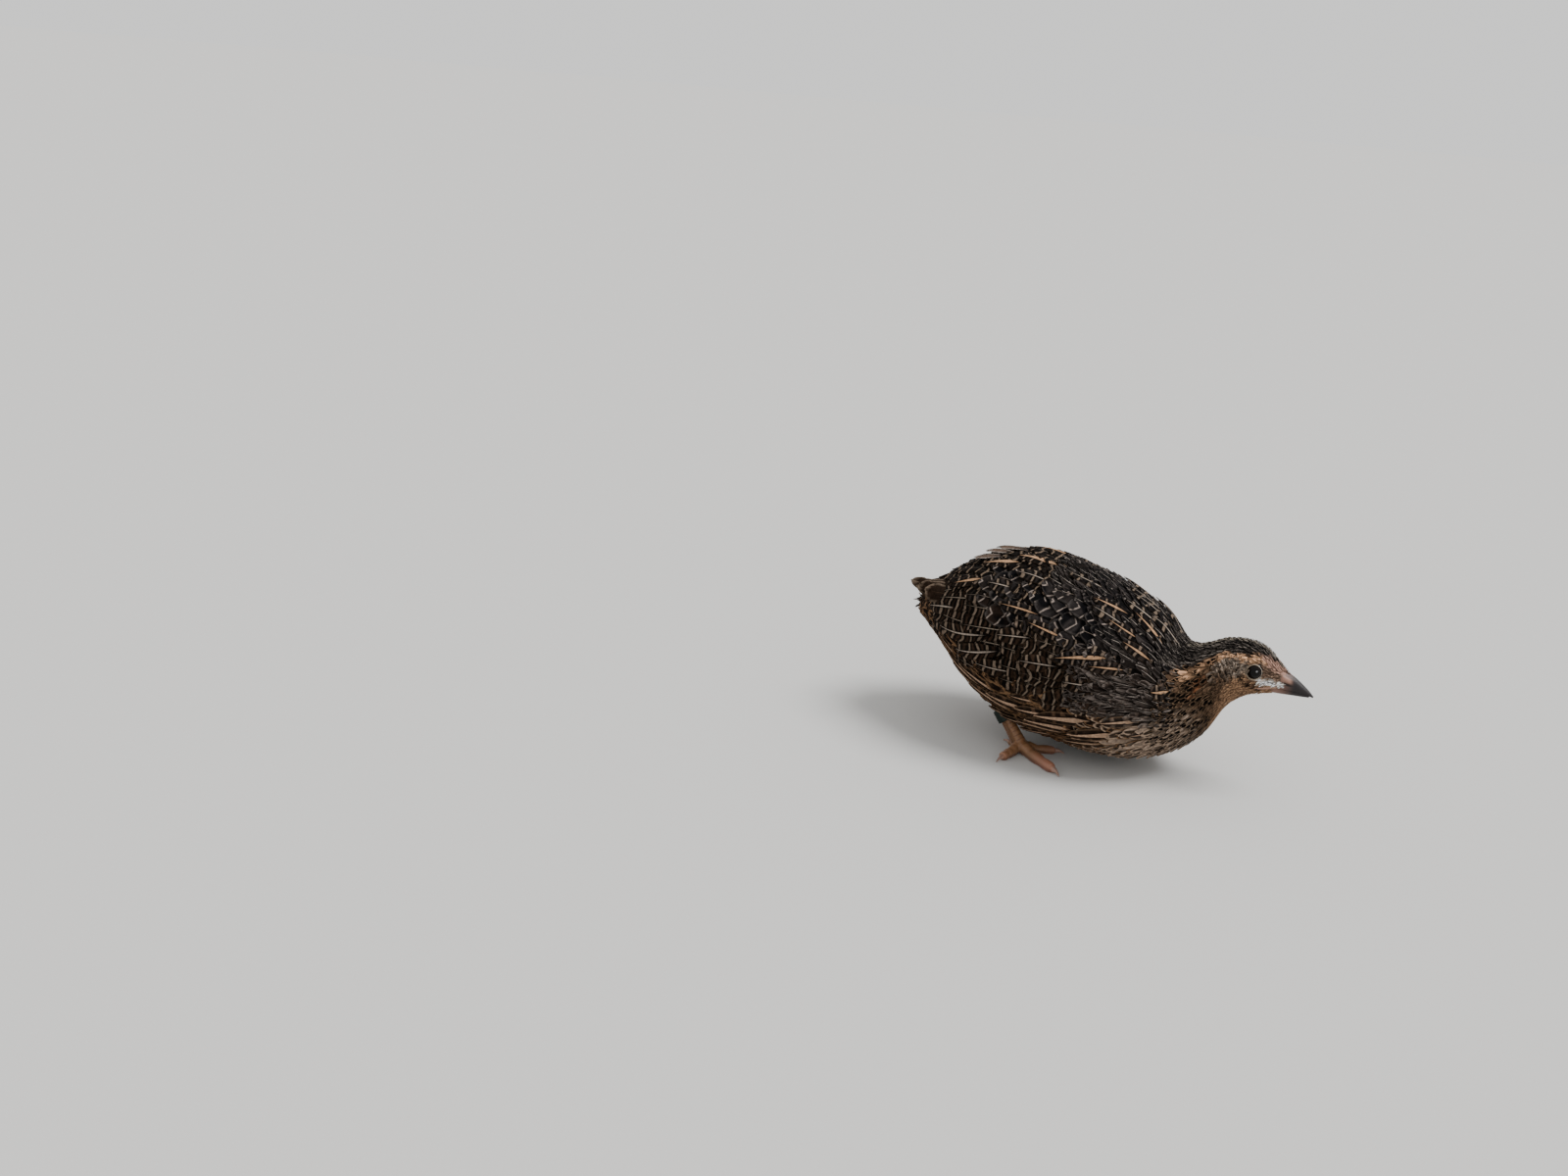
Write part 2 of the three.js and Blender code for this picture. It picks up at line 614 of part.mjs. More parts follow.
function wingForm(side) {
  const random = seeded(11);
  const uneven = () => 1 + VANE_UNEVEN * (2 * random() - 1);
  const feathers = [wingFlesh(side)];
  for (const tier of WING_TIERS) {
    for (let k = 0; k < tier.count; k += 1) {
      const angle = THREE.MathUtils.lerp(tier.top, tier.low, k / (tier.count - 1));
      const length = tier.length * uneven();
      feathers.push(vane(wingPoint, side, { ...tier, angle, length }));
    }
  }
  for (let k = 0; k < SHOULDER_ROW.count; k += 1) {
    const roots = SHOULDER_ROW.first + SHOULDER_ROW.step * k * uneven();
    feathers.push(vane(wingPoint, side, { ...SHOULDER_FEATHER, roots }));
  }
  for (let k = 0; k < PRIMARY_ROW.count; k += 1) {
    const angle = PRIMARY_ROW.top + PRIMARY_ROW.step * k;
    const length = PRIMARY.length - PRIMARY_ROW.shorter * k;
    const rise = PRIMARY_RISE[side < 0 ? "right" : "left"] * (length / PRIMARY.length);
    feathers.push(vane(wingPoint, side, { ...PRIMARY, angle, length, rise, down: 0 }));
  }
  return cutAway(join(feathers), [grownBody, tailCore(GAP)]);
}

// The tail's core, grown for cutting the wings clear of the tail and its feathers
function tailCore(grown) {
  const end = grown > 0 ? TAIL_TIERS.at(-1).roots - TAIL_TIERS.at(-1).length - 1 : TAIL_CORE_END;
  const start = TAIL_CUT.at - GAP + (grown > 0 ? 1 : 0);
  const steps = grown > 0 ? 6 : 4;
  const rings = [];
  for (let i = 0; i <= steps; i += 1) {
    const at = THREE.MathUtils.lerp(start, end, i / steps);
    rings.push(
      Array.from({ length: COAT_SIDES }, (_, j) => {
        const out = grown > 0 ? grown : -TAIL_CORE_INSET;
        return tailPoint(at, (360 * j) / COAT_SIDES - 180, 1, out);
      }),
    );
  }
  return toSolid(loft(rings));
}

function tailForm() {
  const random = seeded(5);
  const feathers = [tailCore(0)];
  TAIL_TIERS.forEach((tier, row) => {
    for (let k = 0; k < tier.count; k += 1) {
      const spread = (k + (row % 2) / 2) / (tier.count - 1 + (row % 2));
      const angle = THREE.MathUtils.lerp(-tier.reach, tier.reach, spread);
      const length = tier.length * (1 + VANE_UNEVEN * (2 * random() - 1));
      feathers.push(vane(tailPoint, 1, { ...tier, angle, length, down: 0 }));
    }
  });
  return join(feathers).trimByPlane([-1, 0, 0], GAP - TAIL_CUT.at);
}

// The right flank is let in round the ring
function ringRoom() {
  const path = [RING.along - 2 * RING.tall, RING.along + RING.tall / 2 + RING_ROOM].map((along) => {
    return shankPoint(-1, along);
  });
  const radius = RING.outer + RING_ROOM;
  return toSolid(limb(path, [radius, radius], 16));
}

function ringForm() {
  const profile = [
    new THREE.Vector2(RING.inner, -RING.tall / 2),
    new THREE.Vector2(RING.outer, -RING.tall / 2),
    new THREE.Vector2(RING.outer, RING.tall / 2),
    new THREE.Vector2(RING.inner, RING.tall / 2),
    new THREE.Vector2(RING.inner, -RING.tall / 2),
  ];
  const ring = new THREE.LatheGeometry(profile, RING_SIDES);
  const along = shankPoint(-1, 1).sub(shankPoint(-1, 0));
  ring.applyQuaternion(new THREE.Quaternion().setFromUnitVectors(point(0, 1, 0), along));
  const place = shankPoint(-1, RING.along);
  ring.translate(place.x, place.y, place.z);
  return toSolid(ring);
}

const torso = behind(aheadOf(body, TAIL_CUT, GAP), NECK_CUT);
addPart("torso", cutAway(torso, [ringRoom()]), PLUMAGE);
addPart("neck", behind(aheadOf(body, NECK_CUT, GAP), HEAD_CUT), PLUMAGE);
addPart("head", headForm(body), PLUMAGE);
addPart("tail", tailForm(), WING_BROWN);
addPart("bill_upper", upperBillForm(), BILL_HORN);
addPart("bill_lower", billForm(false), BILL_HORN);
addPart("leg_ring_right", ringForm(), RING_GREEN);

for (const [name, side] of [["right", -1], ["left", 1]]) {
  addPart(`eye_${name}`, ball(eyePlace(side), EYE_RADIUS), EYE_DARK);
  addPart(`wing_${name}`, wingForm(side), WING_BROWN);

  const [at, out] = FOOT_PLACES[name];
  const foot = point(at, side * out, 0);
  const toes = Object.values(TOES).map((toe) => toeForm(side, toe, foot));
  const shankTop = side < 0 ? RING.along + RING.tall / 2 + RING_ROOM - GAP : SHANK_LENGTH;
  const shank = cutAway(shankForm(side, shankTop), side < 0 ? [] : [grownBody]);
  const slope = shankPoint(side, 1).sub(shankPoint(side, 0));
  const level = slope.dot(shankPoint(side, FOOT_TOP));
  const above = shank.trimByPlane(slope.toArray(), level + GAP);
  const below = shank.trimByPlane(slope.clone().negate().toArray(), -level);
  addPart(`leg_${name}`, above, LEG_SKIN);
  const knob = join([below, ...toes]);
  const underShank = knob.trimByPlane(slope.clone().negate().toArray(), -level);
  addPart(`foot_${name}`, underShank.trimByPlane([0, 0, 1], 0), LEG_SKIN);
  for (const [toeName, toe] of Object.entries(TOES)) {
    addPart(`claw_${toeName}_${name}`, clawForm(side, toe, foot), CLAW_HORN);
  }
}

// The origin is under the middle of the whole bird, on the ground
const box = new THREE.Box3().setFromObject(bird);
const centre = box.getCenter(new THREE.Vector3());
bird.position.set(-centre.x, -centre.y, -box.min.z);

export default bird;
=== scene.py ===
import math

import bpy
import numpy as np
from mathutils import Matrix, Vector


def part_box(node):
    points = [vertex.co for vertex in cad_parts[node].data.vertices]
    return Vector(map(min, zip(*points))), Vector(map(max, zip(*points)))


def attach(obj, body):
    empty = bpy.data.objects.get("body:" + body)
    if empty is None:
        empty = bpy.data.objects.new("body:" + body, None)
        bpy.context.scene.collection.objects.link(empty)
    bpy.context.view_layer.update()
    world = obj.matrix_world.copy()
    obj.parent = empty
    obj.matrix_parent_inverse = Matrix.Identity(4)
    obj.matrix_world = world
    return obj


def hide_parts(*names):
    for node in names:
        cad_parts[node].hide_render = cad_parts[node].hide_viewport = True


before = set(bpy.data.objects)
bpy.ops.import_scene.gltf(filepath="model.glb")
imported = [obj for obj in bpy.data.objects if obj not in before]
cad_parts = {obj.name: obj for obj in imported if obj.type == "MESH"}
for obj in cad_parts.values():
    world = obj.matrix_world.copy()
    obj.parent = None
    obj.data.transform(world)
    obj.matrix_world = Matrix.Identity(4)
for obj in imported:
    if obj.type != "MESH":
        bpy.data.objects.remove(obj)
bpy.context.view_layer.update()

# The camera stands on the bird's right, above the ground, and looks down on it. The photo's frame
# is kept, with the bird small and right of the middle. Sizes are in the bird's own millimetres, from
# the ground, along the bird to its bill (+X) and to its left (+Y), and SHIFT takes them to the frame.
MM = 0.001
EYE_MIDDLE = np.array([61.6, 2.02, 43.2])  # centre of the right eye
PHOTO_WIDE = 1600
PHOTO_HIGH = 1200
FOCAL_PX = 1480  # the focal length, in pixels of the photo
DOWN_SEEN = np.array([-0.0823, 0.9414, 0.3272])  # the way down, in the tilted camera's own axes
TURNED = math.radians(15)  # the bird's heading, away from square across the view
DISTANCE = 520
AIM_PX = (1092, 668)  # where the photo shows the point that the camera's place is measured from
AIM = np.array([0, 0, 33.0])
SENSOR_WIDE = 36.0

eye_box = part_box("eye_right")
SHIFT = (np.array(eye_box[0]) + np.array(eye_box[1])) / 2 / MM - EYE_MIDDLE
down = DOWN_SEEN / np.linalg.norm(DOWN_SEEN)
ray = np.array([AIM_PX[0] - PHOTO_WIDE / 2, AIM_PX[1] - PHOTO_HIGH / 2, FOCAL_PX])
ray = ray / np.linalg.norm(ray)
away = ray - (ray @ down) * down
away = away / np.linalg.norm(away)
rightward = np.cross(down, away)
bird_ahead = math.cos(TURNED) * rightward - math.sin(TURNED) * away
bird_left = math.cos(TURNED) * away + math.sin(TURNED) * rightward
seen = np.stack([bird_ahead, bird_left, -down], 1)
camera_place = (AIM - DISTANCE * ray @ seen + SHIFT) * MM

camera_data = bpy.data.cameras.new("camera")
camera_data.sensor_width = SENSOR_WIDE
camera_data.lens = SENSOR_WIDE * FOCAL_PX / PHOTO_WIDE
camera_data.clip_start = 0.01
camera = bpy.data.objects.new("camera", camera_data)
bpy.context.scene.collection.objects.link(camera)
turned = Matrix((seen[0], -seen[1], -seen[2])).transposed()
camera.matrix_world = Matrix.Translation(Vector(camera_place)) @ turned.to_4x4()
bpy.context.scene.camera = camera

# The skin of the body, neck and head: one surface from tail to bill under the feathers, with the
# eye sockets let in. It is thin and soft, with down on it, and shows only as a warm shade between
# feathers. The stations give the outline of the coat, and the skin lies inside it.
STATIONS = np.array([  # place, height of back and belly, half width, how far the middle lies to the left
    (-56, 38.5, 36, 1.5, 0),  # tail tip
    (-52, 47.5, 32.5, 9.5, 0),  # tail
    (-45, 55, 28, 17.5, 0),  # rump
    (-33, 63, 16.5, 25.5, 0),  # vent and lower back
    (-15, 67.5, 6, 31, 0),  # highest point of the back
    (3, 65, 3, 32, 0),  # widest point
    (20, 60, 2.5, 30, 0),  # shoulders
    (31, 54, 4, 25.5, 0.8),  # breast
    (38, 47.0, 6.8, 21, 1.6),  # mantle
    (42, 46.7, 9, 18, 2.4),  # nape
    (46, 48.3, 12.2, 14.5, 3.4),  # neck
    (50, 50.4, 17.5, 11.8, 4.4),  # throat
    (54, 51.4, 26.5, 10, 5.2),  # back of the head
    (59, 51.4, 32, 8.8, 6.2),  # crown
    (64, 49.7, 34, 6.9, 7.2),  # forehead
    (68, 46.2, 34.9, 4.5, 8),  # root of the bill
    (71, 43.7, 35.2, 3.4, 8.6),  # the nostril
    (74, 41.8, 35.3, 2.75, 9.1),  # as far as feathers reach
])
SKIN_FROM, SKIN_HEAD_FROM, SKIN_TO = -54, 40, 71  # places; the rows lie closer on the head
SKIN_BODY_ROWS, SKIN_HEAD_ROWS, SKIN_SIDES = 64, 94, 160
SKIN_DEPTH_BODY, SKIN_DEPTH_HEAD = 2.6, 0.55
SOCKET = {"long": 2.24, "high": 2.4, "depth": 2.6}  # half the opening of the lids, and how deep
SOCKET_WALL = (0.75, 1.25)  # shares of that opening between which the socket falls in
HEADING = math.radians(11)  # how far the head is turned to the bird's left
TURN_SETS_IN = (44, 58)  # places between which the neck turns
EYES_APART = 9.4

# Colours of the parts of a hen's coat. The skin takes the same ones as the feathers that grow on it.
COAT_COLOURS = {  # sRGB
    "back": "#1a1410",
    "mantle": "#151213",
    "shoulder": "#272322",
    "wing": "#2a1e16",
    "rump": "#2a1e16",
    "side_breast": "#3d332d",
    "flank": "#443326",
    "belly": "#56402f",
    "breast": "#8b7a6c",
    "neck": "#4c3a2c",
    "rufous": "#764a30",
    "crown": "#120f0f",
    "brow": "#cda07c",
    "forehead": "#b68f7e",
    "lores": "#755f50",
    "cheek": "#f6efe6",
    "ear": "#74695f",
    "moustache": "#2b1c16",
    "throat": "#a07d60",
}
# Each marking: colour, place along the bird, degrees from the back, and how far it reaches each way
MARKINGS = [
    ("rump", -50, 20, 9, 60), ("rump", -48, 90, 8, 40), ("belly", -48, 160, 10, 35),
    ("back", -25, 12, 14, 26), ("back", -5, 10, 12, 22), ("wing", -32, 75, 13, 26),
    ("wing", -12, 82, 12, 20), ("shoulder", -8, 45, 12, 15), ("shoulder", 10, 45, 11, 18),
    ("mantle", 15, 8, 12, 22), ("mantle", 34, 10, 7, 26), ("wing", 8, 82, 10, 14),
    ("side_breast", 28, 76, 8, 18), ("side_breast", 40, 84, 3, 14), ("flank", -20, 125, 14, 16),
    ("flank", 5, 118, 14, 14), ("flank", 24, 112, 8, 12), ("belly", -20, 165, 20, 22),
    ("belly", 10, 160, 16, 22), ("breast", 34, 125, 9, 26), ("breast", 44, 130, 4, 30),
    ("breast", 38, 160, 8, 22), ("crown", 43, 15, 3.5, 26), ("crown", 50, 12, 4, 24),
    ("crown", 57, 14, 4, 27), ("crown", 61, 8, 3, 26), ("neck", 45, 60, 3, 16),
    ("crown", 64.5, 4, 2.6, 24), ("crown", 67.5, 2, 2, 18), ("crown", 69.8, 0, 1.4, 12),
    ("rufous", 46.5, 68, 1.6, 9), ("neck", 48, 98, 2.6, 22), ("neck", 50, 130, 2.4, 25),
    ("brow", 43, 50, 2.4, 6), ("brow", 46, 44, 2.2, 6), ("brow", 50, 44, 2.6, 5),
    ("brow", 55, 50, 2.4, 5), ("brow", 59.5, 54, 2, 5), ("brow", 63, 48, 1.8, 7),
    ("forehead", 66, 40, 1.8, 12), ("forehead", 69.5, 34, 2, 16), ("lores", 66, 66, 1.8, 12),
    ("lores", 69.5, 70, 1.5, 16), ("cheek", 66.2, 103, 1.8, 7), ("cheek", 69, 99, 2, 9),
    ("cheek", 71.5, 91, 1.8, 10), ("cheek", 64.2, 99, 1.3, 4), ("ear", 54.6, 80, 3.2, 17),
    ("ear", 57.4, 74, 2, 9), ("moustache", 61.5, 114, 2, 5), ("moustache", 65, 126, 2, 5),
    ("throat", 56, 135, 4, 28), ("throat", 63, 145, 4, 28), ("throat", 68, 140, 3, 30),
    ("neck", 52.5, 104, 2, 14),
]


def curve_through(places, values, at):
    """A smooth curve through values at uneven places."""
    steps = np.diff(places)
    slopes = np.diff(values) / steps
    inner = (slopes[:-1] * steps[1:] + slopes[1:] * steps[:-1]) / (steps[1:] + steps[:-1])
    tangents = np.concatenate([slopes[:1], inner, slopes[-1:]])
    i = np.clip(np.searchsorted(places, at, side="right") - 1, 0, len(places) - 2)
    t = (at - places[i]) / steps[i]
    rise = values[i + 1] - values[i]
    start = steps[i] * tangents[i]
    end = steps[i] * tangents[i + 1]
    return values[i] + t * (start + t * (3 * rise - 2 * start - end + t * (start + end - 2 * rise)))


def station(column, at):
    """One column of the stations at any place along the bird."""
    return curve_through(STATIONS[:, 0], STATIONS[:, column], np.asarray(at, float))


def smooth(value, start, end):
    """0 before start, 1 after end, and an easy rise between them."""
    t = np.clip((value - start) / (end - start), 0, 1)
    return t * t * (3 - 2 * t)


def coat_place(at, angle, out):
    """A point on the coat: degrees from the back, to the left where above 0, and how far it stands out."""
    at, angle, out = np.broadcast_arrays(at, angle, out)
    high = (station(1, at) - station(2, at)) / 2
    turn = np.radians(angle)
    across = station(4, at) + np.maximum(station(3, at) + out, 0.1) * np.sin(turn)
    up = station(2, at) + high + np.maximum(high + out, 0.1) * np.cos(turn)
    return np.stack([at, across, up], -1)


def to_linear(colour):
    """A colour as sRGB hex turned to the linear numbers that shaders use."""
    srgb = np.array([int(colour[i:i + 2], 16) / 255 for i in (1, 3, 5)])
    linear = np.where(srgb <= 0.04045, srgb / 12.92, ((srgb + 0.055) / 1.055) ** 2.4)
    return (*linear.tolist(), 1.0)


def set_back(at, angle):
    """How far the left side of the turned head lies behind the right one."""
    beside = np.sin(np.radians(np.clip(angle, 0, 180)))
    return EYES_APART * math.sin(HEADING) * beside * smooth(at, *TURN_SETS_IN)


def coat_colour(at, angle):
    """The coat's colour at a place, mixed from the markings that reach it."""
    at = at + set_back(at, angle)
    total = np.zeros((*np.shape(at), 3))
    weights = np.full((*np.shape(at), 1), 1e-9)
    for name, place, degrees, reach, round_it in MARKINGS:
        away = ((at - place) / reach) ** 2 + ((np.abs(angle) - degrees) / round_it) ** 2
        weight = np.exp(-2 * away)[..., None]
        total = total + weight * np.array(to_linear(COAT_COLOURS[name])[:3])
        weights = weights + weight
    return total / weights


def in_use(sockets):
    return [socket for socket in sockets if socket.enabled]


def node(tree, kind, inputs=(), **settings):
    """Adds one node. Its inputs are named, or a list in the node's own order, and each is a number, a
    colour, another node or one output of it."""
    made = tree.nodes.new("ShaderNode" + kind)
    for key, value in settings.items():
        setattr(made, key, value)
    named = isinstance(inputs, dict)
    sockets = [made.inputs[key] for key in inputs] if named else in_use(made.inputs)
    for socket, value in zip(sockets, inputs.values() if named else inputs):
        if isinstance(value, bpy.types.Node):
            value = in_use(value.outputs)[0]
        if isinstance(value, bpy.types.NodeSocket):
            tree.links.new(value, socket)
        else:
            socket.default_value = value
    return made


def new_material(name):
    """A material with an empty tree."""
    material = bpy.data.materials.new(name)
    material.use_nodes = True
    material.node_tree.nodes.clear()
    return material, material.node_tree


def finish_material(tree, shader):
    """The shader becomes the material's surface."""
    output = tree.nodes.new("ShaderNodeOutputMaterial")
    tree.links.new(shader.outputs[0], output.inputs["Surface"])


def mesh_object(name, points, faces, material, smooth_faces=True):
    """A mesh from points in the bird's own millimetres and a list of arrays of faces."""
    mesh = bpy.data.meshes.new(name)
    place = ((points + SHIFT) * MM).astype(np.float32)
    corners = np.concatenate([face.ravel() for face in faces])
    sides = np.concatenate([np.full(len(face), face.shape[1]) for face in faces])
    mesh.vertices.add(len(place))
    mesh.vertices.foreach_set("co", place.ravel())
    mesh.loops.add(len(corners))
    mesh.loops.foreach_set("vertex_index", corners.astype(np.int32))
    mesh.polygons.add(len(sides))
    starts = np.concatenate([[0], np.cumsum(sides)[:-1]])
    mesh.polygons.foreach_set("loop_start", starts.astype(np.int32))
    mesh.update(calc_edges=True)
    mesh.validate()
    mesh.polygons.foreach_set("use_smooth", np.full(len(mesh.polygons), smooth_faces))
    mesh.materials.append(material)
    made = bpy.data.objects.new(name, mesh)
    bpy.context.scene.collection.objects.link(made)
    return made


def set_attribute(made, name, kind, values):
    """Values for each point, for the material to read."""
    field = {"FLOAT": "value", "FLOAT_VECTOR": "vector", "FLOAT_COLOR": "color"}[kind]
    attribute = made.data.attributes.new(name, kind, "POINT")
    attribute.data.foreach_set(field, np.asarray(values, np.float32).ravel())


def set_bake_map(made, uv):
    """The map that colours are baked to: one place for each point."""
    corners = np.zeros(len(made.data.loops), np.int32)
    made.data.loops.foreach_get("vertex_index", corners)
    layer = made.data.uv_layers.new(name="OFBake")
    layer.data.foreach_set("uv", np.asarray(uv, np.float32)[corners].ravel())


def with_alpha(colours):
    """Rows of red, green, blue and 1."""
    flat = colours.reshape(-1, 3)
    return np.concatenate([flat, np.ones((len(flat), 1))], 1)


def grid_faces(rows, columns, closed, joined=False):
    """Faces of a sheet of points, its columns closed to a tube and that tube's ends joined to a ring."""
    i = np.arange(rows if joined else rows - 1)[:, None] * columns
    j = np.arange(columns if closed else columns - 1)[None, :]
    below, after = (i + columns) % (rows * columns), (j + 1) % columns
    return np.stack([i + j, i + after, below + after, below + j], -1).reshape(-1, 4)


def skin_depth(at):
    """How deep the skin lies in the coat."""
    return SKIN_DEPTH_HEAD + (SKIN_DEPTH_BODY - SKIN_DEPTH_HEAD) * (1 - smooth(at, 30, 52))


def eye_share(at, angle):
    """How far a place on the head lies from the middle of the eye, 1 at the edge of the lids."""
    place = coat_place(at, angle, 0)
    long = (place[..., 0] + set_back(at, angle) - EYE_MIDDLE[0]) / SOCKET["long"]
    high = (place[..., 2] - EYE_MIDDLE[2]) / SOCKET["high"]
    beside = smooth(np.abs(angle), 30, 45) * (1 - smooth(np.abs(angle), 135, 150))
    return np.where(beside > 0.5, np.hypot(long, high), 9.0)


skin_at = np.concatenate([
    np.linspace(SKIN_FROM, SKIN_HEAD_FROM, SKIN_BODY_ROWS, endpoint=False),
    np.linspace(SKIN_HEAD_FROM, SKIN_TO, SKIN_HEAD_ROWS),
])
skin_angle = np.linspace(-180, 180, SKIN_SIDES, endpoint=False)
skin_grid = np.meshgrid(skin_at, skin_angle, indexing="ij")
in_socket = 1 - smooth(eye_share(*skin_grid), *SOCKET_WALL)
sunk = -skin_depth(skin_grid[0]) - SOCKET["depth"] * in_socket
skin_points = coat_place(*skin_grid, sunk).reshape(-1, 3)
rows, columns = skin_grid[0].shape
skin_faces = [grid_faces(rows, columns, True)[:, ::-1]]
for row, flip in ((0, False), (rows - 1, True)):
    hub = len(skin_points)
    ring = np.arange(columns) + row * columns
    skin_points = np.vstack([skin_points, skin_points[ring].mean(0)])
    fan = np.stack([np.full(columns, hub), ring, np.roll(ring, -1)], 1)
    skin_faces.append(fan[:, ::-1] if flip else fan)

# Bird skin with down on it: soft and matt, with a fine grain
skin_material, tree = new_material("downy_bird_skin")
tone = node(tree, "Attribute", attribute_name="ground")
grain = node(tree, "TexNoise", {"Scale": 1 / (0.6 * MM), "Detail": 3.0})
shade = node(tree, "MapRange", [grain, 0, 1, 0.4, 1.0])
mixed = node(tree, "VectorMath", [tone.outputs["Color"], shade], operation="SCALE")
bump = node(tree, "Bump", {"Height": grain, "Distance": 0.15 * MM, "Strength": 0.6})
skin_shader = node(tree, "BsdfPrincipled", {
    "Base Color": mixed, "Roughness": 0.85, "Normal": bump,
    "Specular IOR Level": 0.2,
})
finish_material(tree, skin_shader)

skin = mesh_object("skin", skin_points, skin_faces, skin_material)
skin_colours = coat_colour(*skin_grid).reshape(-1, 3)
skin_colours = np.vstack([skin_colours, skin_colours[[0, -1]]])
set_attribute(skin, "ground", "FLOAT_COLOR", with_alpha(skin_colours))
coat_long = STATIONS[-1, 0] - STATIONS[0, 0]
skin_uv = np.stack([(skin_grid[0] - STATIONS[0, 0]) / coat_long, (skin_grid[1] + 180) / 360], -1)
skin_uv = skin_uv.reshape(-1, 2)
set_bake_map(skin, np.vstack([skin_uv, [[0.01, 0.5], [0.99, 0.5]]]))
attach(skin, "root")
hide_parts("torso", "neck", "head")

# Belly and vent: the loosest feathers, long, broad and soft, with hardly a mark on them.
# Each feather is a thin closed vane of horn with a shaft down its middle, rooted in the skin and
# lying back over the next one. Their patterns are in their own millimetres, as a real one's are.
TAIL_STRAIGHT = -47.5  # behind this the feathers run straight on
VANE_WIDEST = 0.55  # share of the length where the tip starts to round off
VANE_SWEPT = 0.25  # how far the edges reach on past the shaft
VANE_RIDGE = 0.05  # millimetres that the shaft stands up
ARC_UNIT = 0.48  # millimetres round the body for a degree, for patterns that run on over many feathers
BARB_PITCH = 0.36  # real barbs are 0.1 mm apart, and are drawn as coarse as shows
BAR_WAVES, BAR_WIGGLES = 0.13, 0.55  # for each millimetre of coat, and of vane
PALE_PATCHES, FRAYS = 0.33, 1.3  # for each millimetre, where bars show and where barbs part
MIXED_ROUND = 5.0  # degrees for each millimetre, where markings blend feather by feather


def vane_place(at, angle, out):
    """The coat's surface, carried straight on behind the rump."""
    step = 3.0
    held = np.maximum(at, TAIL_STRAIGHT)
    edge = coat_place(held, angle, out)
    before = coat_place(held + step, angle, out)
    beyond = np.maximum(TAIL_STRAIGHT - at, 0) / step
    return edge + (edge - before) * beyond[..., None] * (at < TAIL_STRAIGHT)[..., None]


def arc_radius(at, angle):
    """Millimetres round the body for each radian of angle."""
    held = np.clip(at, TAIL_STRAIGHT, 73)
    high = (station(1, held) - station(2, held)) / 2
    turn = np.radians(angle)
    return np.hypot(station(3, held) * np.cos(turn), high * np.sin(turn))


def lay_rows(random, rear, front, step, top, low, pitch, uneven=0.2):
    """Root places in rows from rear to front, on both sides, every second row set in between."""
    places = []
    for row, at in enumerate(np.arange(rear, front, step)):
        highest = top(at) if callable(top) else top
        lowest = low(at) if callable(low) else low
        if lowest <= highest:
            continue
        radius = float(arc_radius(at, (highest + lowest) / 2))
        count = max(1, round(math.radians(lowest - highest) * radius / pitch))
        for side in (-1, 1):
            share = (np.arange(count) + 0.25 + 0.5 * (row % 2)) / count
            spread = random.uniform(-uneven, uneven, (2, count))
            angle = highest + (share + spread[0] / count) * (lowest - highest)
            places.append(np.stack([at + spread[1] * step, side * angle], 1))
    return np.vstack(places)


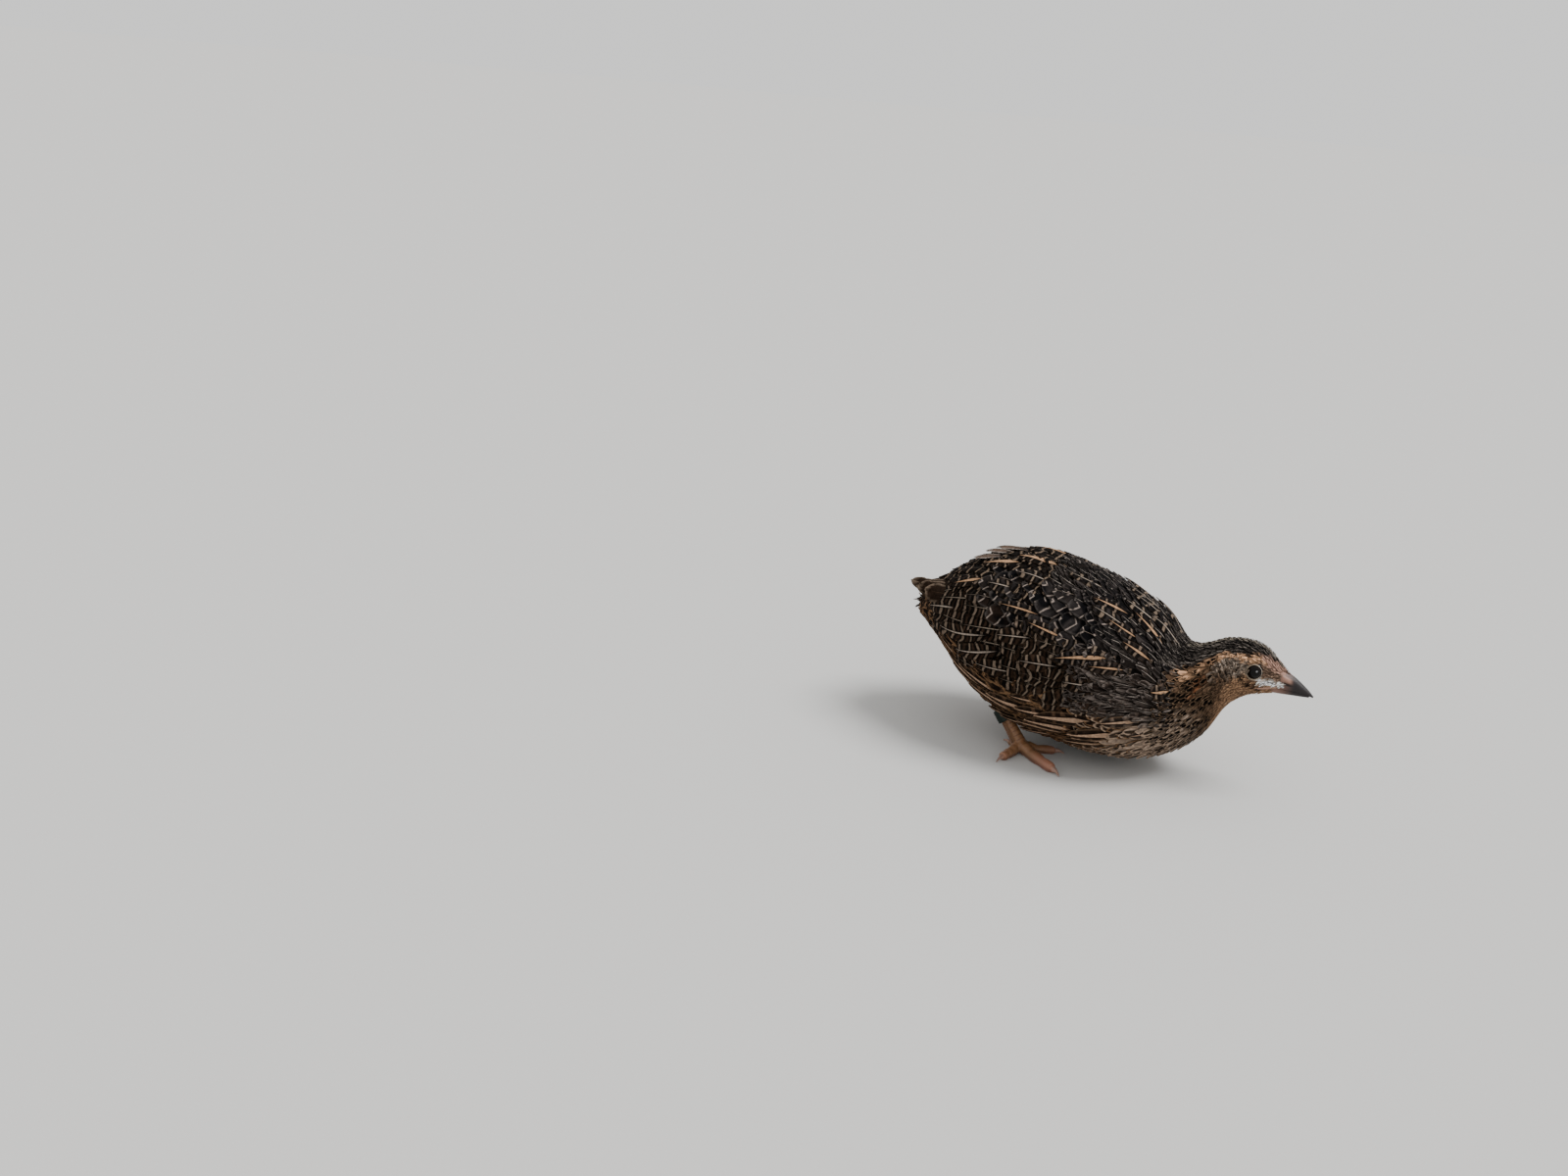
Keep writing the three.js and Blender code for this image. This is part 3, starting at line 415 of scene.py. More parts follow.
def grow_feathers(name, random, places, material, looks):
    """One mesh of many feathers, from the places of their roots.

    looks has the steps along and across, and numbers for all or each: length and width; how far out root
    and tip lie (sunk, rise) and the way between (ease); the outline (stem, widest, blunt, ragged); camber
    and tilt across, and lift of the tip; down, degrees toward the belly; stray and uneven, how far they
    differ; the streak's half width; how much is barred, and whether bars start from each one's tip
    (own_bars); and the ground colour: shade, how uneven it is, darkened, below 0 for paler, and mixed,
    how far colours reach into the next marking.
    """
    count = len(places)
    rows, columns = looks["steps"]

    def each(key, default=0.0):
        return np.broadcast_to(np.asarray(looks.get(key, default), float), (count,))[:, None, None]

    def chance(low, high, *shape):
        return random.uniform(low, high, (count, *(shape or (1, 1))))

    # Each vane lies flat first: t runs from root to tip, and s from edge to edge
    at, angle = places[:, 0][:, None, None], places[:, 1][:, None, None]
    t = (1 - (1 - np.linspace(0, 1, rows + 1)) ** 1.35)[None, :, None]
    s = np.linspace(-1, 1, columns + 1)[None, None, :]
    length = each("length") * (1 + each("uneven", 0.1) * chance(-1, 1))
    width = each("width") * (1 + each("uneven", 0.1) * chance(-1, 1))
    widest, stem = each("widest", VANE_WIDEST), each("stem", 0.45)
    rounding = np.clip((t - widest) / (1 - widest), 0, 1)
    spread = np.where(t < widest, stem + (1 - stem) * smooth(t, 0, widest),
                      np.sqrt(1 - rounding ** each("blunt", 2.2)))
    ragged = 1 + each("ragged", 0.04) * chance(-1, 0.6, rows + 1, columns + 1) * np.abs(s) ** 3
    lateral = s * np.maximum(spread, 0.06) * ragged * width / 2
    tip_wave = 1 + each("ragged", 0.04) * chance(-1, 0.6, 1, columns + 1) * (t > 0.85)
    along = length * t * tip_wave + np.abs(lateral) * VANE_SWEPT * t * (1 - t)

    # Then it is turned to its heading, and wrapped on the coat
    turned = each("down") + each("stray", 4) * random.normal(0, 1, (count, 1, 1))
    bend = each("stray", 4) * random.normal(0, 0.7, (count, 1, 1))
    heading = np.radians(turned + bend * t)
    side = np.where(angle < 0, -1.0, 1.0)
    path_at = at - along * np.cos(heading)
    radius = np.maximum(arc_radius(path_at, angle), 1.5)
    lower = along * np.sin(heading) / np.maximum(arc_radius(at, angle), 1.5)
    path_angle = angle + side * np.degrees(lower + lateral * np.cos(heading) / radius)
    path_at = path_at + lateral * np.sin(heading)

    # How far each point stands out from the coat
    crown = (1 - np.abs(s) ** 1.5) * np.sqrt(np.maximum(spread, 0.02))
    out = each("sunk") + (each("rise") - each("sunk")) * t ** each("ease", 1.0)
    out = out + (each("camber", 0.035) * crown + each("tilt", 0.05) * s * t) * width
    out = out + VANE_RIDGE * (1 - np.minimum(np.abs(s) * columns / 2, 1)) * (1 - t)
    out = out + each("lift") * t ** 3 * (1 + 0.6 * chance(-1, 1))
    out = out + 0.012 * width * random.normal(0, 1, (count, 1, 1))
    points = vane_place(path_at, path_angle, out)

    # The vane's faces, with two strips and two ends that close it below
    first = np.arange(count)[:, None, None] * (rows + 1) * (columns + 1)
    left = np.arange(rows + 1) * (columns + 1)
    right = left + columns
    faces = []
    for corners in (
        grid_faces(rows + 1, columns + 1, False),
        np.stack([left[:-1], left[1:], right[1:], right[:-1]], -1),
        np.arange(columns, -1, -1)[None],
        (np.arange(columns + 1) + rows * (columns + 1))[None],
    ):
        corners = corners[None] + first
        corners = np.where(side > 0, corners, corners[..., ::-1])
        faces.append(corners.reshape(-1, corners.shape[-1]))
    made = mesh_object(name, points.reshape(-1, 3), faces, material)

    # What the material reads: the place on the vane, on the coat or from the tip, and the markings
    shape = (count, rows + 1, columns + 1)

    def filled(*values):
        return np.stack([np.broadcast_to(value, shape) for value in values], -1)

    look = filled(chance(0, 1), each("streak"), each("barred"))
    if looks.get("own_bars"):
        lie = filled(length - along, lateral + 60 * chance(0, 1), np.abs(s))
    else:
        lie = filled(path_at, np.abs(path_angle) * ARC_UNIT, np.abs(s))
    set_attribute(made, "vane", "FLOAT_VECTOR", filled(lateral, along, t))
    set_attribute(made, "look", "FLOAT_VECTOR", look)
    set_attribute(made, "lie", "FLOAT_VECTOR", lie)
    strays = random.normal(0, 1, (2, count)) * each("mixed", 0.35)[:, 0, 0]
    middle = places[:, 0] - each("length")[:, 0, 0] * 0.5
    ground = coat_colour(middle + strays[0], places[:, 1] + MIXED_ROUND * strays[1])
    ground = ground * (1 + each("shade", 0.16)[:, :, 0] * random.normal(0, 1, (count, 1)))
    ground = ground * (1 - each("darkened")[:, :, 0])
    ground = np.clip(ground, 0.002, 1)[:, None, None, :]
    set_attribute(made, "ground", "FLOAT_COLOR", with_alpha(np.broadcast_to(ground, (*shape, 3))))

    # Each feather is a small patch on the map, at its root's place
    patch = 0.003
    low_at, high_at = places[:, 0].min(), places[:, 0].max()
    low_angle, high_angle = places[:, 1].min(), places[:, 1].max()
    u = 0.01 + 0.98 * (at - low_at) / (high_at - low_at + 1e-6) - patch * t
    v = 0.01 + 0.98 * (angle - low_angle) / (high_angle - low_angle + 1e-6) + patch * s / 2
    set_bake_map(made, filled(u, v).reshape(-1, 2))
    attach(made, "root")
    return made


def plumage(name, dark, bar, streak, fringe, spacing=3.6, bar_wide=0.2, wander=0.9, jitter=0.2,
            chevron=0.3, banded=0.9, brown=0.14, blots=0.2, blot_wide=7.0, fringed=0.35, spot=0.0,
            streak_start=0.0, streak_end=0.15, lined=0.0, lines_apart=1.2, rim_from=0.7,
            spot_half=0.54):
    """The surface of feathers: matt barbs of horn, coloured through, on a paler shaft.

    dark, bar, streak and fringe are colours. The spacing of bars, how far they wander, blot_wide and
    lines_apart are millimetres. bar_wide, jitter from feather to feather and the brown between are
    shares of the spacing, and chevron is how far a bar lags behind at the edge. banded, blots, fringed,
    spot and lined are how strong those marks are. The rest are shares of a vane's length or half width.
    """
    material, tree = new_material(name)
    vane, look, lie = (node(tree, "Attribute", attribute_name=kind).outputs["Vector"]
                       for kind in ("vane", "look", "lie"))
    ground = node(tree, "Attribute", attribute_name="ground").outputs["Color"]
    lateral, along, share = node(tree, "SeparateXYZ", [vane]).outputs
    seed, streak_half, barred = node(tree, "SeparateXYZ", [look]).outputs
    place, round_it, across = node(tree, "SeparateXYZ", [lie]).outputs
    beside = node(tree, "Math", [lateral], operation="ABSOLUTE")
    own = node(tree, "Math", [seed, 90.0], operation="MULTIPLY")
    on_vane = node(tree, "CombineXYZ", [lateral, along, own])
    on_coat = node(tree, "CombineXYZ", [place, round_it])

    # Bars run on from feather to feather, a little out of step. Black edges them, with brown between
    wave = node(tree, "TexNoise", {"Vector": on_coat, "Scale": BAR_WAVES, "Detail": 1.0})
    wave = node(tree, "MapRange", [wave, 0.3, 0.7, -wander, wander], clamp=False)
    fine = node(tree, "TexNoise", {"Vector": on_vane, "Scale": BAR_WIGGLES, "Detail": 1.5})
    moved = node(tree, "Math", [fine, 0.5, wave], operation="MULTIPLY_ADD")
    moved = node(tree, "Math", [beside, chevron, moved], operation="MULTIPLY_ADD")
    moved = node(tree, "Math", [moved, place], operation="ADD")
    step = node(tree, "Math", [seed, 2 * jitter], operation="MULTIPLY")
    turn = node(tree, "Math", [moved, 1 / spacing, step], operation="MULTIPLY_ADD")
    turn = node(tree, "Math", [turn], operation="FRACT")
    off_bar = node(tree, "Math", [turn, 0.5 * bar_wide - 1.0], operation="ADD")
    off_bar = node(tree, "Math", [off_bar, 1.0], operation="PINGPONG")
    off_bar = node(tree, "Math", [off_bar, 0.5], operation="PINGPONG")
    bars = node(tree, "MapRange", [off_bar, 0.5 * bar_wide - 0.02, 0.5 * bar_wide + 0.025, 1.0, 0.0])
    patchy = node(tree, "TexNoise", {"Vector": on_coat, "Scale": PALE_PATCHES, "Detail": 1.0})
    kept = node(tree, "Math", [patchy, barred], operation="ADD")
    kept = node(tree, "MapRange", [kept, 0.94, 1.02])
    bars = node(tree, "Math", [bars, kept], operation="MULTIPLY")
    to_brown = node(tree, "Math", [patchy, 0.4, off_bar], operation="MULTIPLY_ADD")
    black = node(tree, "MapRange", [to_brown, 0.66 - brown, 0.76 - brown, banded, 0.0])
    blot = node(tree, "TexNoise", {"Vector": on_coat, "Scale": 1 / blot_wide, "Detail": 1.0})
    blot = node(tree, "MapRange", [blot, 0.44, 0.52, 0.0, blots])
    black = node(tree, "Math", [black, blot], operation="MAXIMUM")

    # A dark spot before the tip, for the feathers that have one
    spotted = node(tree, "MapRange", [share, 0.56, 0.64, 0.0, spot])
    inside = node(tree, "MapRange", [across, spot_half - 0.08, spot_half + 0.08, 1.0, 0.0])
    spotted = node(tree, "Math", [spotted, inside], operation="MULTIPLY")
    has_spot = node(tree, "MapRange", [seed, 0.3, 0.36])
    spotted = node(tree, "Math", [spotted, has_spot], operation="MULTIPLY")
    black = node(tree, "Math", [black, spotted], operation="MAXIMUM")

    # The shaft streak tapers to both ends, and a dark line edges it
    grows = node(tree, "MapRange", [share, streak_start, streak_start + 0.22])
    fades = node(tree, "MapRange", [share, 0.45, 1.0, 1.0, streak_end])
    half = node(tree, "Math", [streak_half, fades], operation="MULTIPLY")
    half = node(tree, "Math", [half, grows], operation="MULTIPLY")
    half = node(tree, "Math", [half, 0.04], operation="SUBTRACT")
    inner = node(tree, "Math", [half, beside], operation="SUBTRACT")
    streaked = node(tree, "MapRange", [inner, -0.04, 0.06])
    edged = node(tree, "MapRange", [inner, -0.7, -0.1, 0.0, 0.8])
    has_streak = node(tree, "Math", [streak_half, 0.15], operation="GREATER_THAN")
    edged = node(tree, "Math", [edged, has_streak], operation="MULTIPLY")

    # The fringe: paler, looser barbs along the edge and round the tip, and fine lines that run on
    # lengthwise over many narrow feathers
    rim = node(tree, "MapRange", [across, rim_from, rim_from + 0.25, 0.0, fringed])
    end = node(tree, "MapRange", [share, 0.92, 0.98, 0.0, fringed])
    rim = node(tree, "Math", [rim, end], operation="MAXIMUM")
    longer = (1 / (8 * lines_apart), 1 / lines_apart, 0.0)
    stretched = node(tree, "VectorMath", [on_coat, longer], operation="MULTIPLY")
    lines = node(tree, "TexNoise", {"Vector": stretched, "Scale": 1.0, "Detail": 1.0})
    lines = node(tree, "MapRange", [lines, 0.54, 0.62, 0.0, lined])
    rim = node(tree, "Math", [rim, lines], operation="MAXIMUM")

    # Barbs run out from the shaft towards the tip, and painted shade darkens the root, where other feathers
    # cover it
    frayed = node(tree, "TexNoise", {"Vector": on_vane, "Scale": FRAYS, "Detail": 3.0})
    barb = node(tree, "Math", [beside, -1.1, along], operation="MULTIPLY_ADD")
    barb = node(tree, "Math", [frayed, 0.7, barb], operation="MULTIPLY_ADD")
    barb = node(tree, "Math", [barb, 2 * math.pi / BARB_PITCH], operation="MULTIPLY")
    barb = node(tree, "Math", [barb], operation="SINE")
    grain = node(tree, "Math", [barb, 0.07, frayed], operation="MULTIPLY_ADD")
    grain = node(tree, "MapRange", [grain, 0.25, 0.75, 0.6, 1.36])
    # Painted shade: the colour darkens to 0.45 towards the root, where the feathers lying over it would
    # shade it
    painted_root_shade = node(tree, "MapRange", [share, 0.1, 0.6, 0.45, 1.0])
    grain = node(tree, "Math", [grain, painted_root_shade], operation="MULTIPLY")

    colour = node(tree, "Mix", [black, ground, to_linear(dark)], data_type="RGBA")
    colour = node(tree, "Mix", [rim, colour, to_linear(fringe)], data_type="RGBA")
    colour = node(tree, "Mix", [bars, colour, to_linear(bar)], data_type="RGBA")
    colour = node(tree, "Mix", [edged, colour, to_linear(dark)], data_type="RGBA")
    colour = node(tree, "Mix", [streaked, colour, to_linear(streak)], data_type="RGBA")
    # grain also carries the painted root shade into the colour
    colour = node(tree, "VectorMath", [colour, grain], operation="SCALE")
    relief = node(tree, "Bump", {"Height": barb, "Distance": 0.03 * MM, "Strength": 0.35})
    shader = node(tree, "BsdfPrincipled", {
        "Base Color": colour, "Roughness": 0.8, "Normal": relief, "Specular IOR Level": 0.025,
    })
    finish_material(tree, shader)
    return material


belly_feathers = plumage(
    "soft_belly_feather", dark="#2c1e16", bar="#6b4d35", streak="#8a6846", fringe="#7d5c3e", banded=0.0,
    fringed=0.5,
)
random = np.random.default_rng(21)
places = lay_rows(random, rear=-47, front=30, step=3.0, top=134, low=180, pitch=4.6)
grow_feathers("coat_belly", random, places, belly_feathers, {
    "steps": (8, 6), "length": 10.5, "width": 7.5, "sunk": -2.4, "rise": -0.2, "stray": 9,
    "streak": 0.1, "stem": 0.6, "ragged": 0.14,
})

# Tail: short feathers that hardly pass the rump, with the coverts above and below them.
# They are barred dark brown and buff, and soft, as in all quails.
tail_feathers = plumage(
    "barred_tail_feather", dark="#0a0706", bar="#6f5640", streak="#8b7560", fringe="#4c3a2b",
    spacing=3.2, bar_wide=0.22, wander=0.7,
)
TAIL_LAYERS = (  # rear and front row of roots, how deep the tips lie, length: each closes the last
    (-46.5, -40, 0.6, 9.6), (-48, -45.5, 2.7, 9.6), (-48, -46, 4.6, 10.2), (-48, -46, 6.4, 10.4),
)
random = np.random.default_rng(22)
places, sizes = [], []
for rear, front, deep, length in TAIL_LAYERS:
    layer = lay_rows(random, rear=rear, front=front, step=2.2, top=0, low=176, pitch=4.6)
    places.append(layer)
    sizes.append(np.broadcast_to((deep, length), (len(layer), 2)))
places, sizes = np.vstack(places), np.vstack(sizes)
tail = grow_feathers("coat_tail", random, places, tail_feathers, {
    "steps": (16, 8), "length": sizes[:, 1], "width": 6.6, "sunk": -1.6 - sizes[:, 0],
    "rise": -sizes[:, 0], "streak": 0.12, "barred": 0.62, "ragged": 0.08,
})
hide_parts("tail")

# Flanks: long feathers that curve back over the legs, cinnamon with dark brown blotches, and among
# them some with a cream streak all along the shaft. They cover the lower edge of the wing.
flank_feathers = plumage(
    "cinnamon_flank_feather", dark="#0a0605", bar="#6d5039", streak="#8f6d4c", fringe="#8b6a4d",
    spacing=5.5, bar_wide=0.1, wander=1.2, jitter=0.5, chevron=0.9, brown=0.24, blots=0.6, fringed=0.6,
    rim_from=0.5,
)
random = np.random.default_rng(23)
places = lay_rows(random, rear=-38, front=38, step=2.7, top=97, low=137, pitch=3.9)
size = 1 - 0.45 * smooth(places[:, 0], 8, 38)
downward = 10 * smooth(places[:, 0], -25, 15)
grow_feathers("coat_flanks", random, places, flank_feathers, {
    "steps": (16, 8), "length": 16 * size, "width": 5.4 * size, "down": downward, "sunk": -2.2,
    "rise": 0.1, "streak": random.uniform(0.0, 0.3, len(places)) * size, "barred": 0.2, "stray": 4,
    "ragged": 0.05, "own_bars": True,
})
FLANK_LANCES = np.array([  # place of the root, degrees, length, half width of streak, downward, rise
    (36, 97, 15, 0.5, 12, 1.1), (23, 105, 25, 0.85, 14, 1.2), (32, 111, 22, 0.85, 13, 1.2),
    (12, 112, 20, 0.6, 10, 1.1), (0, 117, 20, 0.7, 6, 1.1), (-10, 118, 22, 0.5, -4, 0.9),
    (17, 120, 22, 0.75, 8, 1.1), (29, 120, 18, 0.6, 10, 1.0), (-3, 126, 24, 0.65, 0, 1.0),
    (13, 128, 22, 0.55, 5, 1.1), (26, 129, 17, 0.5, 6, 1.0), (-17, 124, 21, 0.65, -5, 0.6),
    (-14, 131, 22, 0.5, -3, 0.6), (-24, 115, 18, 0.4, -5, 0.5), (4, 107, 14, 0.35, 8, 0.7),
    (40, 106, 10, 0.35, 14, 0.6), (3, 132, 18, 0.45, 8, 1.3), (-5, 134, 15, 0.4, 4, 1.2),
    (8, 137, 16, 0.4, 6, 1.3),
])
flank_lances = plumage(
    "cream_streaked_flank_feather", dark="#090605", bar="#6d5039", streak="#9c806a", fringe="#7c634d",
    banded=0.85, brown=0.2, blots=0.7, blot_wide=5, fringed=0.4, streak_start=0.2, streak_end=0.2,
)
random = np.random.default_rng(35)
sides = np.repeat([-1.0, 1.0], len(FLANK_LANCES))
both = np.vstack([FLANK_LANCES, FLANK_LANCES])
places = np.stack([both[:, 0] + random.uniform(-1, 1, len(both)) * (sides > 0), sides * both[:, 1]], 1)
grow_feathers("coat_flank_lances", random, places, flank_lances, {
    "steps": (26, 10), "length": both[:, 2], "width": 2.6 + both[:, 3] * 3.6, "down": both[:, 4],
    "sunk": -1.6, "rise": both[:, 5], "ease": 0.7, "camber": 0.08, "streak": both[:, 3] * 1.2,
    "stray": 0.5, "uneven": 0.03, "ragged": 0.05, "own_bars": True,
})

# Breast: rounded feathers that get smaller towards the neck, buff brown with a dark drop before
# the tip, a pale edge and a thin pale shaft. They are soft, and lap like shingles from the throat back.
breast_feathers = plumage(
    "spotted_breast_feather", dark="#0e0906", bar="#6b5038", streak="#8c7052", fringe="#a8907c",
    banded=0.2, blots=0.25, blot_wide=5, fringed=0.8, spot=0.95, rim_from=0.45, spot_half=0.4,
)
random = np.random.default_rng(24)
places = lay_rows(random, rear=22, front=49, step=2.4,
                  top=lambda at: 98 + 8 * float(smooth(at, 40, 50)), low=180, pitch=2.8)
size = 1 - 0.45 * smooth(places[:, 0], 30, 48)
grow_feathers("coat_breast", random, places, breast_feathers, {
    "steps": (9, 6), "length": 10.5 * size, "width": 4.6 * size,
    "down": 6 * smooth(places[:, 0], 24, 40), "sunk": -1.8 * size,
    "rise": -0.25 + 0.35 * smooth(places[:, 0], 25, 36), "streak": 0.13, "stray": 6, "lift": 0.25,
    "ragged": 0.05, "widest": 0.45, "blunt": 1.8, "shade": 0.24,
})

# Sides of the breast: loose greyish-brown feathers with fine pale shafts and edges. They fluff out over
# the front of the folded wing and hide where it joins.
side_feathers = plumage(
    "loose_breast_side_feather", dark="#080606", bar="#5c524b", streak="#978c84", fringe="#6f655f",
    spacing=2.2, bar_wide=0.12, wander=1.0, jitter=0.5, banded=0.5, blots=0.8, blot_wide=4, fringed=0.6,
    lined=0.7, lines_apart=1.3,
)
random = np.random.default_rng(25)
places = lay_rows(random, rear=17, front=45, step=1.9,
                  top=lambda at: 60 - 4 * float(smooth(at, 30, 42)), low=101, pitch=2.1)
size = 1 - 0.45 * smooth(places[:, 0], 26, 44)
grow_feathers("coat_breast_sides", random, places, side_feathers, {
    "steps": (10, 6), "length": 8.5 * size, "width": 3.0 * size, "down": 6, "sunk": -1.9 * size,
    "rise": 0.8 - 0.6 * smooth(places[:, 0], 20, 29),
    "streak": random.choice([0.0, 0.16, 0.22], len(places)), "barred": 0.3, "stray": 6, "lift": 0.25,
    "ragged": 0.08,
})

# Wing: flight feathers first, then tier over tier of coverts to the shoulder. They are brown, with
# wavy buff bars that black edges, and thin pale shafts. The longest pass the rump.
primary_feathers = plumage(
    "plain_flight_feather", dark="#120d09", bar="#4a3a2e", streak="#4c3c2e", fringe="#6b5c4e",
    banded=0.0, blots=0.3, fringed=0.75,
)
random = np.random.default_rng(26)
PRIMARIES, PRIMARY_PLACE, PRIMARY_TOP, PRIMARY_PITCH = 3, -29, 42, 8
PRIMARY_LONG, PRIMARY_SHORTER = 30, 3.4
PRIMARY_STANDS = (10.0, 3.6)  # how far the longest tip stands off the rump, right and left
order = np.tile(np.arange(PRIMARIES), 2)
sides = np.repeat([-1.0, 1.0], PRIMARIES)
primary_angles = sides * (PRIMARY_TOP + PRIMARY_PITCH * order)
places = np.stack([np.full(2 * PRIMARIES, PRIMARY_PLACE), primary_angles], 1)
longest = PRIMARY_LONG - PRIMARY_SHORTER * order
stand = np.where(sides < 0, *PRIMARY_STANDS) * (longest / PRIMARY_LONG) ** 2
grow_feathers("coat_primaries", random, places, primary_feathers, {
    "steps": (24, 8), "length": longest, "width": 6.8, "sunk": -1.6, "rise": stand, "ease": 3.2,
    "camber": 0.06, "uneven": 0.02, "streak": 0.13, "stray": 1, "widest": 0.72, "blunt": 2.6,
    "shade": 0.05, "darkened": 0.35,
})
barred_wing = plumage(
    "barred_wing_feather", dark="#050403", bar="#64564a", streak="#8d7f70", fringe="#33271d",
    spacing=3.5, bar_wide=0.22, wander=1.0, jitter=0.04, chevron=0.1, banded=0.95, brown=0.12,
    blots=0.1, fringed=0.2,
)
WING_TIERS = (  # place of the roots, highest and lowest degrees, pitch, length, width, downward
    (-24, 42, 100, 11, 24, 8.8, 14), (-10, 47, 106, 11, 24, 8.6, 12), (3, 56, 106, 10.5, 19, 8, 8),
)
tier_places, tier_sizes = [], []
for at, top, low, pitch, length, width, downward in WING_TIERS:
    for side in (-1, 1):
        for degrees in np.arange(top, low, pitch):
            away = (random.uniform(-1.2, 1.2), random.uniform(-0.8, 0.8))
            tier_places.append((at + away[0], side * (degrees + away[1])))
            tier_sizes.append((length, width, downward))
places, sizes = np.array(tier_places), np.array(tier_sizes)
secondaries = grow_feathers("coat_secondaries", random, places, barred_wing, {
    "steps": (34, 12), "length": sizes[:, 0], "width": sizes[:, 1], "down": sizes[:, 2], "sunk": -2.2,
    "rise": 0.45, "streak": 0.2, "barred": 0.9, "stray": 1.5, "ragged": 0.03,
})
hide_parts("wing_right", "wing_left")
covert_wing = plumage(
    "barred_wing_covert", dark="#060504", bar="#64574b", streak="#857769", fringe="#443629",
    spacing=3.2, wander=1.0, jitter=0.08, blots=0.25,
)
random = np.random.default_rng(27)
places = lay_rows(random, rear=2, front=24, step=3.4, top=58, low=104, pitch=4.4)
size = 1 - 0.3 * smooth(places[:, 0], 8, 24)
grow_feathers("coat_wing_coverts", random, places, covert_wing, {
    "steps": (20, 10), "length": 12 * size, "width": 6.4 * size, "down": 6, "sunk": -2, "rise": 0.5,
    "streak": random.choice([0.0, 0.15, 0.2], len(places)), "barred": 0.7, "stray": 4, "ragged": 0.03,
    "lift": 0.12,
})

# Rump and lower back: dark feathers with narrow wavy bars and thin whitish shafts. They lie close, in
# rows from the tail up to the mantle, and shed the rain.
back_feathers = plumage(
    "barred_back_feather", dark="#050404", bar="#645547", streak="#8a7c6e", fringe="#2e241c",
    spacing=3.5, bar_wide=0.17, jitter=0.22, brown=0.1, blots=0.4, fringed=0.25,
)
random = np.random.default_rng(28)
places = lay_rows(random, rear=-46, front=6, step=3.3, top=0, low=48, pitch=5.0)
size = 1 - 0.2 * smooth(-places[:, 0], 40, 46)
grow_feathers("coat_back", random, places, back_feathers, {
    "steps": (18, 8), "length": 13 * size, "width": 7.4 * size, "down": 4, "sunk": -2.2, "rise": 0.35,
    "streak": random.choice([0.0, 0.14, 0.18], len(places)), "barred": 0.7, "stray": 4, "ragged": 0.03,
    "lift": 0.1,
})

# Shoulder feathers: the largest on the folded wing's top, slate black with brown blotches, short
# hooked buff bars and grey-brown edges.
shoulder_feathers = plumage(
    "blotched_shoulder_feather", dark="#060608", bar="#7c7068", streak="#8f8073", fringe="#45403d",
    spacing=4.6, bar_wide=0.12, jitter=0.4, chevron=0.8, banded=0.35, brown=0.2, blots=0.95,
    blot_wide=8, fringed=0.6,
)
random = np.random.default_rng(29)
places = lay_rows(random, rear=-14, front=25, step=4.2, top=26, low=62, pitch=6.0)
size = 1 - 0.25 * smooth(places[:, 0], 8, 25)
grow_feathers("coat_shoulders", random, places, shoulder_feathers, {
    "steps": (24, 12), "length": 15 * size, "width": 8.8 * size, "down": 4, "sunk": -2.2, "rise": 0.6,
    "streak": random.choice([0.0, 0.0, 0.2], len(places)), "barred": 0.6, "stray": 4, "ragged": 0.03,
    "lift": 0.12,
})

# Mantle: blackish feathers with thin cream shafts that draw together on the neck. They get shorter and
# narrower there, and lie between the two shoulders.
mantle_feathers = plumage(
    "cream_shafted_mantle_feather", dark="#060606", bar="#6e6660", streak="#8b8179", fringe="#4a4340",
    bar_wide=0.12, wander=1.4, jitter=0.5, chevron=0.6, banded=0.7, blots=0.8, blot_wide=5,
    fringed=0.55, streak_end=0.5, lined=0.4, lines_apart=1.3,
)
random = np.random.default_rng(30)
places = lay_rows(random, rear=3, front=43, step=2.2,
                  top=0, low=lambda at: 34 + 28 * float(smooth(at, 16, 28)), pitch=3.1)
size = 1 - 0.5 * smooth(places[:, 0], 16, 42)
grow_feathers("coat_mantle", random, places, mantle_feathers, {
    "steps": (14, 8), "length": 10.5 * size, "width": 5.4 * size, "sunk": -2 * size, "rise": 0.3,
    "streak": random.choice([0.0, 0.16, 0.22], len(places), p=[0.4, 0.35, 0.25]), "barred": 0.4,
    "stray": 5, "ragged": 0.05, "lift": 0.15,
})

# Great shaft streaks: a few shoulder and back feathers with a broad orange-buff lance along the
# shaft, and a few more on back and wing with a thin whitish one.
LANCES = np.array([  # place of the root, degrees, length, half width of the streak, downward
    (-0.5, 12.5, 18, 1.3, 1), (-14, 18.5, 16, 0.95, 8), (-25, 37, 14, 0.6, 16), (1, 53, 19, 0.36, 5),
    (10, 61, 16, 0.42, 0), (28, 55, 23, 0.68, 20), (31, 61, 15, 0.36, 15), (26, 24.5, 15, 0.5, 7),
    (38, 32.5, 14, 0.55, -14), (32, 40.5, 15, 0.32, -4), (36, 50.5, 12, 0.5, -5),
    (41.5, 61, 7, 0.55, 24),
])
LANCES_LARGER = 1.15  # by how much length and streak pass the sizes in the two lists
SHAFTS = np.array([  # the same columns
    (-34, 68, 13, 0.26, 14), (-19, 77, 21, 0.28, 22), (-14, 83, 18, 0.28, 28), (-4, 68, 12, 0.2, 16),
    (-14, 43, 11, 0.22, 2), (14, 14, 14, 0.22, 4), (35, 18, 15, 0.28, -3), (41, 8, 12, 0.28, 10),
    (36, 3, 15, 0.25, 0), (-2, 30, 14, 0.2, 3), (7, 78, 13, 0.2, 12), (-8, 93, 14, 0.2, 14),
    (24, 36, 12, 0.2, -2), (18, 82, 9, 0.2, 10),
])
lance_feathers = plumage(
    "lance_streaked_feather", dark="#060505", bar="#64564a", streak="#a17e60", fringe="#352a21",
    spacing=3.7, bar_wide=0.18, blots=0.4, streak_start=0.3, streak_end=0.05,
)
shaft_feathers = plumage(
    "white_shafted_feather", dark="#070605", bar="#685a4d", streak="#93867a", fringe="#33281f",
    spacing=3.7, bar_wide=0.22, jitter=0.12, blots=0.1, streak_start=0.12, streak_end=0.3,
)
random = np.random.default_rng(31)
